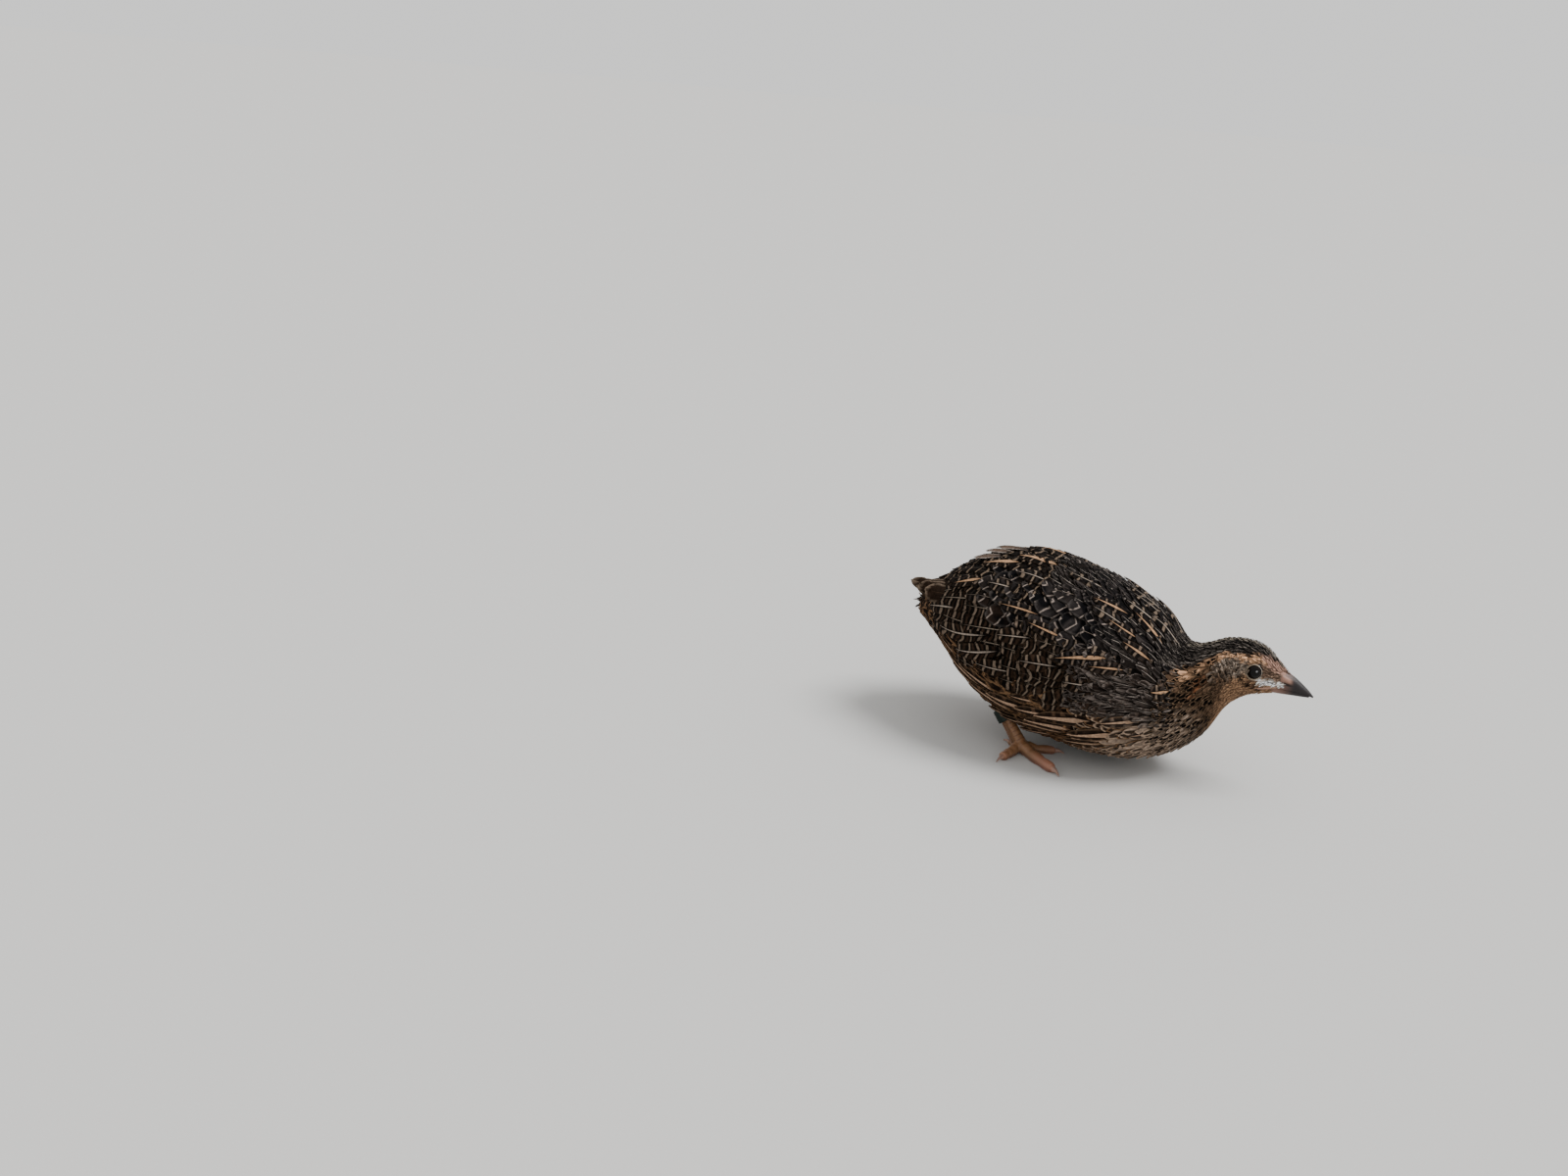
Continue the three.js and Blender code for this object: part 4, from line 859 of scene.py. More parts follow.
for name, rows_of_them, material, wide in (
    ("coat_lances", LANCES, lance_feathers, 3.4), ("coat_shafts", SHAFTS, shaft_feathers, 5.0),
):
    both = np.vstack([rows_of_them, rows_of_them])
    sides = np.repeat([-1.0, 1.0], len(rows_of_them))
    nudge = random.uniform(-2, 2, len(both)) * (sides > 0)
    places = np.stack([both[:, 0] + nudge, sides * both[:, 1]], 1)
    grow_feathers(name, random, places, material, {
        "steps": (26, 12), "length": both[:, 2] * LANCES_LARGER, "width": wide + both[:, 3] * 2.6,
        "down": both[:, 4], "sunk": -1.6, "ease": 0.5, "camber": 0.08,
        "rise": 0.5 + (0.8 - 0.5 * smooth(both[:, 0], 22, 34)) * smooth(np.abs(both[:, 1]), 12, 30),
        "tilt": 0.02, "streak": both[:, 3] * LANCES_LARGER, "barred": 0.7, "stray": 0, "uneven": 0.02,
        "ragged": 0.03,
    })

# Loose feathers: a soft grey-brown one stands up on the back, and a few small ones beside it are out
# of place. They are worn body feathers, still rooted in the skin, and paler than the coat.
loose_feathers = plumage(
    "loose_grey_feather", dark="#332c28", bar="#84786d", streak="#a89c92", fringe="#a39890", banded=0.1,
    fringed=0.9,
)
random = np.random.default_rng(36)
places = np.array([(-24, -5), (-27, -10), (-21, 3), (-31, -7)], float)
grow_feathers("coat_loose", random, places, loose_feathers, {
    "steps": (20, 10), "length": [11, 9.5, 10, 8], "width": [5, 4.6, 4.6, 4], "down": [4, 8, -4, 2],
    "sunk": -0.6, "rise": [2.2, 1.5, 1.8, 1.2], "ease": 0.8, "camber": 0.12, "streak": 0.16, "stray": 3,
    "ragged": 0.16, "shade": 0, "darkened": -9,
})

# Neck: short rounded feathers, orange buff, most with a small black spot at the tip. They lie
# level behind the ear, and run down the neck from there.
LIE_DOWN = ([42, 48, 52, 55, 58, 62, 66, 72], [40, 36, 20, -12, -26, -14, -6, 0])  # degrees, by place


def lie_toward(at, angle):
    """Degrees toward the belly that make a feather lie back and down as LIE_DOWN has it."""
    high = (station(1, at) - station(2, at)) / 2
    up_ahead = (coat_place(at + 0.5, angle, 0) - coat_place(at - 0.5, angle, 0))[:, 2]
    wanted = np.tan(np.radians(np.interp(at, *LIE_DOWN)))
    beside = smooth(np.abs(angle), 34, 62) * (1 - smooth(np.abs(angle), 140, 168))
    drop_round = np.maximum(high * np.sin(np.radians(np.abs(angle))), 1.0)
    lean = (wanted - up_ahead) * arc_radius(at, angle) / drop_round
    return np.degrees(np.arctan(lean)) * beside * smooth(at, 42, 47)


neck_feathers = plumage(
    "spotted_neck_feather", dark="#050302", bar="#7c5a38", streak="#947048", fringe="#7d6650",
    banded=0.0, blots=0.6, blot_wide=2.5, fringed=0.45, spot=1.0, rim_from=0.6, spot_half=0.58,
)
NECK_TOP = ([38, 42, 46, 50, 53], [52, 46, 39, 40, 46])
random = np.random.default_rng(32)
places = lay_rows(random, rear=40, front=54, step=1.3,
                  top=lambda at: float(np.interp(at, *NECK_TOP)), low=180, pitch=1.75)
grow_feathers("coat_neck", random, places, neck_feathers, {
    "steps": (8, 4), "length": 4.4, "width": 2.4, "down": lie_toward(places[:, 0], places[:, 1]),
    "sunk": -1.0, "rise": 0.12, "stray": 8, "lift": 0.15, "ragged": 0.08, "widest": 0.5, "blunt": 1.9,
})

# Nape and crown: narrow blackish feathers with brown edges, and a thin pale stripe down the middle. They
# lie sleek and close, the shortest at the bill, and end in a sharp line above the brow.
crown_feathers = plumage(
    "dark_crown_feather", dark="#040303", bar="#3a2d24", streak="#8f8578", fringe="#7d746c", banded=0.1,
    blots=0.5, blot_wide=2, fringed=0.26, lined=0.55, lines_apart=1.1, streak_end=0.8,
)
CROWN_EDGE_AT = (37, 42, 46, 50, 55, 58, 61, 64, 66, 68, 69.6, 70.8)
CROWN_EDGE = (50, 44, 37, 38, 41, 45, 44, 40, 37, 31, 22, 8)


def crown_edge(at):
    """Degrees from the middle of the head to the crown's edge."""
    return float(np.interp(at, CROWN_EDGE_AT, CROWN_EDGE))


random = np.random.default_rng(33)
places = lay_rows(random, rear=38, front=71, step=0.85, top=0, low=crown_edge, pitch=0.95)
size = 1 - 0.5 * smooth(places[:, 0], 44, 66)
in_stripe = (np.abs(places[:, 1]) < 7) & (places[:, 0] > 44)
grow_feathers("coat_crown", random, places, crown_feathers, {
    "steps": (6, 4), "length": 5 * size, "width": 1.5 * size, "sunk": -0.9 * size, "rise": 0.12,
    "stray": 5, "lift": 0.2, "ragged": 0.12, "streak": np.where(in_stripe, 0.18, 0.0),
})

# Face and throat: the smallest feathers, in a stream that parts round the eye and closes behind it.
# Those over the ear have hair-like whitish shafts.
face_feathers = plumage(
    "fine_face_feather", dark="#1a120e", bar="#7c6048", streak="#8b8077", fringe="#8f7660", banded=0.0,
    blots=0.45, blot_wide=1.6, fringed=0.25, streak_end=0.8,
)
STREAM_ROUND_EYE = 3.0  # millimetres from the middle of the eye to where the feathers part
MOUSTACHE = ([57, 60, 62.5, 65, 68], [95, 106, 119, 128, 122])  # degrees, by place
EAR_LIE = 26  # degrees by which the feathers over the ear lie higher than those round them
FACE_END_ANGLE = (0, 20, 34, 46, 66, 80, 92, 102, 112, 180)
FACE_END = (72.6, 72.2, 70.8, 70, 69.8, 71, 72.8, 72.6, 70.2, 69)
LIDS_END = 1.14  # shares of the lids' opening inside which no feather has its root
LIDS_END_AHEAD = 0.55  # more of it ahead of the eye, as feathers there lie back towards it
LIDS_END_LEFT = 0.3  # more of it behind the left eye, which the turned head sets deeper
random = np.random.default_rng(34)
places = lay_rows(random, rear=52.5, front=72.4, step=0.55, top=crown_edge, low=180, pitch=0.72)
reach = np.interp(np.abs(places[:, 1]), FACE_END_ANGLE, FACE_END)
share = eye_share(*places.T)
from_eye = places[:, 0] + set_back(*places.T) - EYE_MIDDLE[0]
far_ahead = smooth(from_eye / (SOCKET["long"] * share), 0.0, 0.75)
behind_left_eye = smooth(-from_eye, 0.0, 1.5) * (places[:, 1] > 0)
lids_end = LIDS_END + LIDS_END_AHEAD * far_ahead + LIDS_END_LEFT * behind_left_eye
places = places[(share > lids_end) & (places[:, 0] < reach)]

share = eye_share(*places.T)
at, angle = places[:, 0], np.abs(places[:, 1])
face_at = at + set_back(*places.T)
eye_high = (station(1, EYE_MIDDLE[0]) - station(2, EYE_MIDDLE[0])) / 2
eye_angle = math.degrees(math.acos((EYE_MIDDLE[2] - station(2, EYE_MIDDLE[0]) - eye_high) / eye_high))
ahead = face_at - EYE_MIDDLE[0]
below = np.radians(angle - eye_angle) * arc_radius(at, angle)
parting = STREAM_ROUND_EYE ** 2 / np.maximum(ahead ** 2 + below ** 2, 5.0) ** 2
stream = np.degrees(np.arctan2(2 * parting * ahead * below, 1 - parting * (ahead ** 2 - below ** 2)))
over_ear = np.exp(-((face_at - 55) / 3.2) ** 4 - ((angle - 78) / 20) ** 4)
on_cheek = np.exp(-((face_at - 68.5) / 4.5) ** 6 - ((angle - 98) / 9) ** 4)
stream = stream + lie_toward(at, angle) - EAR_LIE * over_ear
size = 1 - 0.35 * smooth(face_at, 58, 67)
in_moustache = np.exp(-((face_at - 62.5) / 5) ** 6 - ((angle - np.interp(face_at, *MOUSTACHE)) / 6) ** 4)
on_line = np.exp(-((share - 1.75) / 0.2) ** 2) * (below > 0.8) * (ahead < 1)
chosen = random.uniform(0, 1, len(places))
darkened = 0.85 * (chosen < 0.62 * np.maximum(in_moustache, 0.8 * on_line))
darkened = darkened + over_ear * (0.55 * (chosen < 0.45) - 1.1 * (chosen > 0.76))
darkened = darkened + on_cheek * (0.6 * (chosen > 0.86) - 0.5)
grow_feathers("coat_face", random, places, face_feathers, {
    "steps": (5, 4), "length": (2.5 + 2.6 * over_ear) * size, "width": (0.95 - 0.5 * over_ear) * size,
    "down": stream, "sunk": -0.5, "rise": 0.08 + 0.1 * over_ear, "darkened": darkened,
    "stray": 6 - 4 * over_ear, "shade": 0.2 + 0.25 * over_ear, "lift": 0.1,
    "ragged": 0.12 - 0.06 * over_ear, "mixed": 0.5,
})

# Eyes: dark glossy balls, nearly black, with the horny cornea swelling a little in front. They sit in
# their sockets so that only the cap shows between the lids.
SIDES = (("right", -1), ("left", 1))
BALL_RADIUS = 3.35
BALL_RINGS, BALL_ROUNDS = 40, 64
BALL_SET_BACK = 0.45  # from the middle of the eye's solid, so that both reach equally far out
CORNEA_SWELL = 0.16
CORNEA_WIDE = 0.5  # radians from the middle of the pupil
head_ahead = np.array([math.cos(HEADING), math.sin(HEADING), 0])
head_left = np.array([-math.sin(HEADING), math.cos(HEADING), 0])
head_up = np.array([0, 0, 1.0])


def eye_middle(side):
    """The middle of one eyeball: side is -1 for the right one and 1 for the left."""
    solid = EYE_MIDDLE if side < 0 else EYE_MIDDLE + EYES_APART * head_left
    return solid - side * head_left * BALL_SET_BACK


# Living eye: black pupil in a dark brown iris, under a clear wet surface
eye_material, tree = new_material("wet_dark_eye")
off_axis = node(tree, "Attribute", attribute_name="off_axis").outputs["Fac"]
rays = node(tree, "TexNoise", {"Scale": 1 / (0.4 * MM), "Detail": 2.0})
edge = node(tree, "Math", [rays, 0.05, off_axis], operation="MULTIPLY_ADD")
pupil = node(tree, "MapRange", [edge, 0.5, 0.54])
iris = node(tree, "Mix", [pupil, to_linear("#050404"), to_linear("#0c0706")], data_type="RGBA")
shader = node(tree, "BsdfPrincipled", {
    "Base Color": iris, "Roughness": 0.04, "IOR": 1.38, "Specular IOR Level": 0.22,
})
finish_material(tree, shader)

both_eyes = bpy.data.collections.new("both_eyes")
for name, side in SIDES:
    tilt = np.linspace(0, math.pi, BALL_RINGS)[:, None]
    round_it = np.linspace(0, 2 * math.pi, BALL_ROUNDS, endpoint=False)[None, :]
    swell = BALL_RADIUS + CORNEA_SWELL * np.exp(-(tilt / CORNEA_WIDE) ** 2)
    out = (swell * np.cos(tilt) * np.ones_like(round_it))[..., None] * head_left * side
    along = (swell * np.sin(tilt) * np.cos(round_it))[..., None] * head_ahead
    up = (swell * np.sin(tilt) * np.sin(round_it))[..., None] * head_up
    ball = eye_middle(side) + out + along + up
    tilts = np.broadcast_to(tilt, ball.shape[:2])[1:-1]
    points = np.vstack([ball[1:-1].reshape(-1, 3), ball[0, :1], ball[-1, :1]])
    ring = np.arange(BALL_ROUNDS)
    last = (BALL_RINGS - 3) * BALL_ROUNDS
    caps = [
        np.stack([np.full(BALL_ROUNDS, len(points) - 2), np.roll(ring, -1), ring], 1),
        np.stack([np.full(BALL_ROUNDS, len(points) - 1), ring + last, np.roll(ring, -1) + last], 1),
    ]
    faces = [grid_faces(BALL_RINGS - 2, BALL_ROUNDS, True), *caps]
    if side < 0:
        faces = [face[:, ::-1] for face in faces]
    eye = mesh_object(f"eyeball_{name}", points, faces, eye_material)
    set_attribute(eye, "off_axis", "FLOAT", np.append(tilts.ravel(), [0, math.pi]))
    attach(eye, "root")
    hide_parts(f"eye_{name}")
    both_eyes.objects.link(eye)

# Eyelids: a narrow ring of bare pale skin, thick and finely wrinkled, that hugs the ball and runs out
# under the first small feathers. It comes to a slight point in front and behind.
LID_SIDES, LID_STEPS = 96, 14
LID_IN, LID_OUT = 1.0, 1.26  # shares of the opening of the lids
LID_SWELL = 0.26
LID_THICK = 0.3
LID_SUNK = 0.42  # how far the outer edge lies under the coat's surface
LID_ON_BALL = 0.985  # share of the ball's height at which the inner edge touches it
LID_FOLDS, LID_FOLD_DEEP, LID_FOLD_LEAN = 46, 0.1, 6
LID_CORNER = 0.04

lid_material, tree = new_material("bare_lid_skin")
lid_place = node(tree, "Attribute", attribute_name="lid_place").outputs["Vector"]
over, in_front, _ = node(tree, "SeparateXYZ", [lid_place]).outputs
wrinkle = node(tree, "TexNoise", {"Scale": 1 / (0.35 * MM), "Detail": 3.0})
moved = node(tree, "Math", [wrinkle, 0.12, over], operation="MULTIPLY_ADD")
# The inner edge, where the lid meets the ball, is near black
dark_inner_edge = node(tree, "MapRange", [moved, 0.1, 0.22])
beyond = node(tree, "MapRange", [moved, 0.58, 0.8])
bare = node(tree, "Mix", [in_front, to_linear("#94846f"), to_linear("#c4b6a4")], data_type="RGBA")
pale = node(tree, "Mix", [dark_inner_edge, to_linear("#100b0a"), bare], data_type="RGBA")
lid = node(tree, "Mix", [beyond, pale, to_linear("#4f3d30")], data_type="RGBA")
relief = node(tree, "Bump", {"Height": wrinkle, "Distance": 0.08 * MM, "Strength": 0.7})
shader = node(tree, "BsdfPrincipled", {
    "Base Color": lid, "Roughness": 0.6, "Normal": relief,
})
finish_material(tree, shader)


def lid_ring(side, turn, share):
    """A ring on the eyeball, at a share of the lids' opening, and how far out the ball stands there."""
    ahead = SOCKET["long"] * share * (1 + LID_CORNER * np.abs(np.cos(turn)) ** 6) * np.cos(turn)
    high = SOCKET["high"] * share * np.sin(turn)
    deep = np.sqrt(np.maximum(BALL_RADIUS ** 2 - ahead ** 2 - high ** 2, 0.2))
    spread = ahead[..., None] * head_ahead + high[..., None] * head_up
    return eye_middle(side) + spread, deep[..., None] * head_left * side


for name, side in SIDES:
    turn = np.linspace(0, 2 * math.pi, LID_SIDES, endpoint=False)[None, :]
    over = np.linspace(0, 1, LID_STEPS)[:, None]
    inner_flat, inner_deep = lid_ring(side, turn, LID_IN)
    outer_flat, _ = lid_ring(side, turn, LID_OUT)
    high = (station(1, outer_flat[..., 0]) - station(2, outer_flat[..., 0])) / 2
    level = np.clip((outer_flat[..., 2] - station(2, outer_flat[..., 0]) - high) / high, -0.98, 0.98)
    outer = coat_place(outer_flat[..., 0], side * np.degrees(np.arccos(level)), -LID_SUNK)
    inner = inner_flat + inner_deep * LID_ON_BALL
    rise = LID_SWELL * np.sin(math.pi * over ** 0.62) * (1 - 0.2 * over)
    folds = 1 + LID_FOLD_DEEP * np.sin(turn * LID_FOLDS + LID_FOLD_LEAN * over)
    above = inner + (outer - inner) * over[..., None] + (rise * folds)[..., None] * head_left * side
    below = (inner + (outer - inner) * over[..., None] - head_left * side * LID_THICK)[::-1]
    lids = np.concatenate([above, below])
    faces = grid_faces(2 * LID_STEPS, LID_SIDES, True, joined=True)
    lid = mesh_object(f"eyelids_{name}", lids.reshape(-1, 3), [faces if side > 0 else faces[:, ::-1]],
                      lid_material)
    over = np.broadcast_to(np.concatenate([over, over[::-1]]), lids.shape[:2])
    in_front = np.broadcast_to(smooth(np.cos(turn), -0.2, 0.9), lids.shape[:2])
    set_attribute(lid, "lid_place", "FLOAT_VECTOR", np.stack([over, in_front, over * 0], -1))
    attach(lid, "root")

# Bill: two horn sheaths over bone, the upper one overhanging the lower. A soft fleshy flap swells
# over each nostril, and the slit lies under it. Horn is smooth, hard and half glossy.
BILL_ROOT = 68.3
BILL = np.array([  # place, upper edge, cutting edge, lower edge, half width, middle
    (66.6, 44.6, 38.0, 35.2, 3.8, 7.9),
    (BILL_ROOT, 44.1, 37.8, 35.2, 3.7, 8.1),
    (71, 43, 37.6, 35.2, 3.2, 8.6),
    (74, 41.4, 37.35, 35.3, 2.6, 9.1),
    (77, 39.3, 36.95, 35.4, 1.85, 9.5),
    (79.2, 37.5, 36.35, 35.5, 1.1, 9.8),
    (80.6, 36.1, 35.8, 35.5, 0.5, 10),
])
BILL_STEPS, BILL_SIDES = 70, 48
BILL_RIDGE = 0.1
LOWER_BILL_SHORTER, LOWER_BILL_NARROWER, LOWER_BILL_GAP = 1.3, 0.25, 0.06
NOSTRIL_AT, NOSTRIL_FLAP_LONG, NOSTRIL_SWELL = 71.7, 1.6, 0.8
NOSTRIL_BESIDE, NOSTRIL_HALF = 52, 15  # degrees down from the ridge of the bill, and half the flap's width
SLIT_AHEAD, SLIT_LONG, SLIT_DEEP = 0.5, 1.5, 0.6  # the slit, from the middle of its flap
SLIT_BELOW, SLIT_HALF = 3, 5  # degrees from the flap's edge, and half the slit's width

bill_material, tree = new_material("bill_horn")
bill_place = node(tree, "Attribute", attribute_name="bill_place").outputs["Vector"]
from_root, fleshy, slit_painted_shade = node(tree, "SeparateXYZ", [bill_place]).outputs
streaks = node(tree, "TexNoise", {"Scale": 1 / (1.1 * MM), "Detail": 4.0})
dark_by = node(tree, "Math", [streaks, 0.22, from_root], operation="MULTIPLY_ADD")
dark = node(tree, "MapRange", [dark_by, 0.36, 0.6])
horn = node(tree, "Mix", [dark, to_linear("#5c433a"), to_linear("#1c1617")], data_type="RGBA")
tone = node(tree, "Mix", [streaks, to_linear("#6f4e42"), to_linear("#a37e6d")], data_type="RGBA")
flesh = node(tree, "Mix", [fleshy, horn, tone], data_type="RGBA")
# Painted shade: the nostril slit is coloured near black for the shade inside its opening
under = node(tree, "Mix", [slit_painted_shade, flesh, to_linear("#0e0908")], data_type="RGBA")
relief = node(tree, "Bump", {"Height": streaks, "Distance": 0.06 * MM, "Strength": 0.5})
shader = node(tree, "BsdfPrincipled", {
    "Base Color": under, "Roughness": 0.42, "Normal": relief, "Specular IOR Level": 0.3,
})
finish_material(tree, shader)


def bill_column(column, at):
    """One column of the bill's sizes at any place along it."""
    return curve_through(BILL[:, 0], BILL[:, column], at)


for name, upper in (("bill_sheath_upper", True), ("bill_sheath_lower", False)):
    end = BILL[-1, 0] - (0 if upper else LOWER_BILL_SHORTER)
    at = (BILL[0, 0] + (end - BILL[0, 0]) * np.sin(np.linspace(0, math.pi / 2, BILL_STEPS)))[:, None]
    turn = np.linspace(0, math.pi, BILL_SIDES)[None, :]
    flat = bill_column(2, at) - (0 if upper else LOWER_BILL_GAP)
    high = bill_column(1, at) - flat if upper else np.maximum(flat - bill_column(3, at), 0.25)
    half = np.maximum(bill_column(4, at) - (0 if upper else LOWER_BILL_NARROWER), 0.2)
    across = bill_column(5, at) + half * np.cos(turn)
    arch = np.sin(turn) ** (0.85 if upper else 0.7)
    rise = flat + high * arch * (1 if upper else -1)
    beside = np.abs(np.degrees(turn) - 90)
    flap = np.exp(-((at - NOSTRIL_AT) / NOSTRIL_FLAP_LONG) ** 4)
    flap = flap * np.exp(-((beside - NOSTRIL_BESIDE) / NOSTRIL_HALF) ** 4)
    slit = np.exp(-((at - NOSTRIL_AT - SLIT_AHEAD) / SLIT_LONG) ** 4)
    slit = slit * np.exp(-((beside - NOSTRIL_BESIDE - NOSTRIL_HALF - SLIT_BELOW) / SLIT_HALF) ** 2)
    if upper:
        swell = NOSTRIL_SWELL * flap - SLIT_DEEP * slit
        across = across + np.sign(np.cos(turn)) * swell * 0.85
        rise = rise + swell * 0.35 + BILL_RIDGE * np.exp(-(beside / 9) ** 2)
    at = np.broadcast_to(at, across.shape)
    points = np.stack([at, across, rise], -1).reshape(-1, 3)
    rims = np.arange(BILL_STEPS)[:, None] * BILL_SIDES
    base = np.hstack([rims, rims + BILL_SIDES - 1])
    closing = np.stack([base[:-1, 0], base[1:, 0], base[1:, 1], base[:-1, 1]], 1)
    caps = [np.arange(BILL_SIDES)[None, ::-1], (np.arange(BILL_SIDES) + base[-1, 0])[None, :]]
    faces = [grid_faces(BILL_STEPS, BILL_SIDES, False), closing, *caps]
    if not upper:
        faces = [face[:, ::-1] for face in faces]
    bill = mesh_object(name, points, faces, bill_material)
    from_root = (at - BILL_ROOT) / (BILL[-1, 0] - BILL_ROOT)
    cover = (1 - smooth(from_root, 0.05, 0.3)) * 0.7
    fleshy = np.clip(flap * 1.15 + cover, 0, 1) if upper else cover * 0.7
    # The third value marks the nostril slit, where the material paints its shade
    set_attribute(bill, "bill_place", "FLOAT_VECTOR", np.stack([from_root, fleshy, slit * upper], -1))
    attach(bill, "root")
    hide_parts("bill_upper" if upper else "bill_lower")

# Lips: the soft edges of the gape, from the bill back under the eye, pinkish and thin. They are skin, not
# horn, and lie closed along the line of the mouth, with the cheek's feathers down to them.
LIP_BACK, LIP_THICK = 62.6, 0.3
LIP_STEPS, LIP_SIDES = 30, 10
LIP_APART = 0.24  # half the space between the two, at the bill
LIP_RISE, LIP_DROP, LIP_SUNK = 0.15, 0.9, 0.12
lip_material, tree = new_material("gape_skin")
tone = node(tree, "TexNoise", {"Scale": 1 / (0.8 * MM), "Detail": 2.0})
lip = node(tree, "Mix", [tone, to_linear("#7a5344"), to_linear("#b08a72")], data_type="RGBA")
shader = node(tree, "BsdfPrincipled", {"Base Color": lip, "Roughness": 0.5})
finish_material(tree, shader)


def tube(path, radii, sides):
    """Rings round a path, and the faces of a closed tube over them."""
    ahead = np.gradient(path, axis=0)
    ahead = ahead / np.linalg.norm(ahead, axis=1)[:, None]
    across = np.cross([0, 0, 1.0], ahead)
    across = across / np.linalg.norm(across, axis=1)[:, None]
    above = np.cross(ahead, across)
    turn = np.linspace(0, 2 * math.pi, sides, endpoint=False)[None, :, None]
    rings = path[:, None] + radii[:, None, None] * (across[:, None] * np.cos(turn)
                                                    + above[:, None] * np.sin(turn))
    count = len(path)
    caps = [np.arange(sides)[None, ::-1], (np.arange(sides) + (count - 1) * sides)[None]]
    return rings.reshape(-1, 3), [grid_faces(count, sides, True), *caps]


for name, side in SIDES:
    at = np.linspace(LIP_BACK, BILL_ROOT + 0.8, LIP_STEPS)
    share = np.linspace(0, 1, LIP_STEPS)
    for lip_name, lift in (("upper", LIP_APART), ("lower", -LIP_APART)):
        high = (station(1, at) - station(2, at)) / 2
        wanted = BILL[1, 2] + LIP_RISE + lift * share ** 0.5 - LIP_DROP * (1 - share)
        level = (wanted - station(2, at) - high) / high
        path = coat_place(at, side * np.degrees(np.arccos(np.clip(level, -1, 1))), -LIP_SUNK)
        radii = LIP_THICK * (0.3 + 0.7 * np.sin(math.pi * np.clip(share, 0.03, 0.9)))
        points, faces = tube(path, radii, LIP_SIDES)
        lip = mesh_object(f"lip_{lip_name}_{name}", points, faces, lip_material)
        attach(lip, "root")

# Legs and feet: scaly skin over bone, with broad plates down the front of the shank and along the
# top of each toe, and fine grains elsewhere. Shank and toes are one skin, with a small web.
FOOT_PLACES = {"right": (-8, 17.5), "left": (-5, 16.5)}
ANKLE = (13.5, 2.5, 16)  # how far the shank leans back, in and up from the foot
SHANK_LONG = 21.0
SHANK_SHARES, SHANK_RADII = (0, 0.3, 0.6, 1), (2.6, 2.3, 2.25, 2.4)
FOOT_HEIGHT = 2.4
TOES = {  # how far the claw tip lies ahead and outside, thickness, bones, height
    "inner": (14, -7.5, 1.75, 2, 1.3),
    "middle": (18.5, 11.5, 2.15, 3, 1.6),
    "outer": (-3, 14.5, 1.85, 4, 1.3),
    "hind": (-7.5, -4.5, 1.2, 1, 1),
}
TOE_RISE = 0.82
TOE_ROUNDS = 0.88  # share of the toe's length where its end starts to round off
TOE_STEPS, SHANK_STEPS, LIMB_SIDES = 48, 24, 24
WEB_FROM, WEB_TO = 6, 16  # steps along the toes
WEB_HOLLOW, WEB_THICK = 0.45, 0.7
CLAW_LONG = 3.4
SCUTE_PITCH = {"toe": 0.8, "shank": 1.6}
SCUTE_CUT, SCUTE_LAP = 0.1, 0.08
VOXEL = 0.24  # grain of the skin that is drawn over shank, toes and webs

leg_material, tree = new_material("scaly_leg_skin")
leg_place = node(tree, "Attribute", attribute_name="leg_place").outputs["Vector"]
groove, pink, up_side = node(tree, "SeparateXYZ", [leg_place]).outputs
cells = node(tree, "TexVoronoi", {"Scale": 1 / (0.75 * MM), "Randomness": 0.85}, feature="DISTANCE_TO_EDGE")
cell_line = node(tree, "MapRange", [cells.outputs["Distance"], 0.0, 0.16])
mottle = node(tree, "TexNoise", {"Scale": 1 / (2.4 * MM), "Detail": 4.0})
warm = node(tree, "Mix", [mottle, to_linear("#68442c"), to_linear("#956e4b")], data_type="RGBA")
pinker = node(tree, "Mix", [pink, warm, to_linear("#ab7361")], data_type="RGBA")
lined = node(tree, "Mix", [groove, pinker, to_linear("#62422b")], data_type="RGBA")
plain = node(tree, "Math", [up_side, -0.8, 1.0], operation="MULTIPLY_ADD")
relief = node(tree, "Bump", {"Height": cell_line, "Distance": 0.12 * MM, "Strength": plain})
shader = node(tree, "BsdfPrincipled", {
    "Base Color": lined, "Roughness": 0.48, "Normal": relief, "Subsurface Weight": 0.08,
    "Subsurface Radius": (0.6 * MM, 0.3 * MM, 0.2 * MM),
})
finish_material(tree, shader)


def shank_point(side, along):
    """A point on the middle line of one shank, so far up from its foot."""
    at, out = FOOT_PLACES["right" if side < 0 else "left"]
    slope = np.array([-ANKLE[0], -side * ANKLE[1], ANKLE[2]])
    slope = slope / np.linalg.norm(slope)
    return np.array([at, side * out, FOOT_HEIGHT]) + slope * np.asarray(along, float)[..., None]


def toe_path(side, toe, foot, count):
    """The middle line of a toe, arched bone by bone, and its radii with a pad under each."""
    ahead, out, thick, bones, height = toe
    full = math.hypot(ahead, out)
    share = (full - CLAW_LONG + 0.5) / full
    t = np.linspace(0, 1, count)
    drop = FOOT_HEIGHT + (height * TOE_RISE - FOOT_HEIGHT) * smooth(t, 0, 0.45)
    arch = 0.25 * np.abs(np.sin(math.pi * t * bones)) * (1 - t) * (t > 0.2)
    path = np.stack([foot[0] + ahead * share * t, foot[1] + side * out * share * t, drop + arch], 1)
    pad = 0.14 * np.abs(np.sin(math.pi * t * bones))
    end = np.sqrt(np.clip(1 - (np.maximum(t - TOE_ROUNDS, 0) / (1 - TOE_ROUNDS)) ** 2, 0.1, 1))
    return path, thick * (1 - 0.28 * t + pad) * end


def nearest_on(path, points):
    """For each point: how far along a path the nearest place is, and how far off it lies."""
    best = np.full(len(points), 1e9)
    along = np.zeros(len(points))
    travelled = 0.0
    for start, end in zip(path[:-1], path[1:]):
        step = end - start
        length = np.linalg.norm(step)
        t = np.clip((points - start) @ step / length ** 2, 0, 1)
        off = np.linalg.norm(points - start - t[:, None] * step, axis=1)
        closer = off < best
        best = np.where(closer, off, best)
        along = np.where(closer, travelled + t * length, along)
        travelled += length
    return along, best


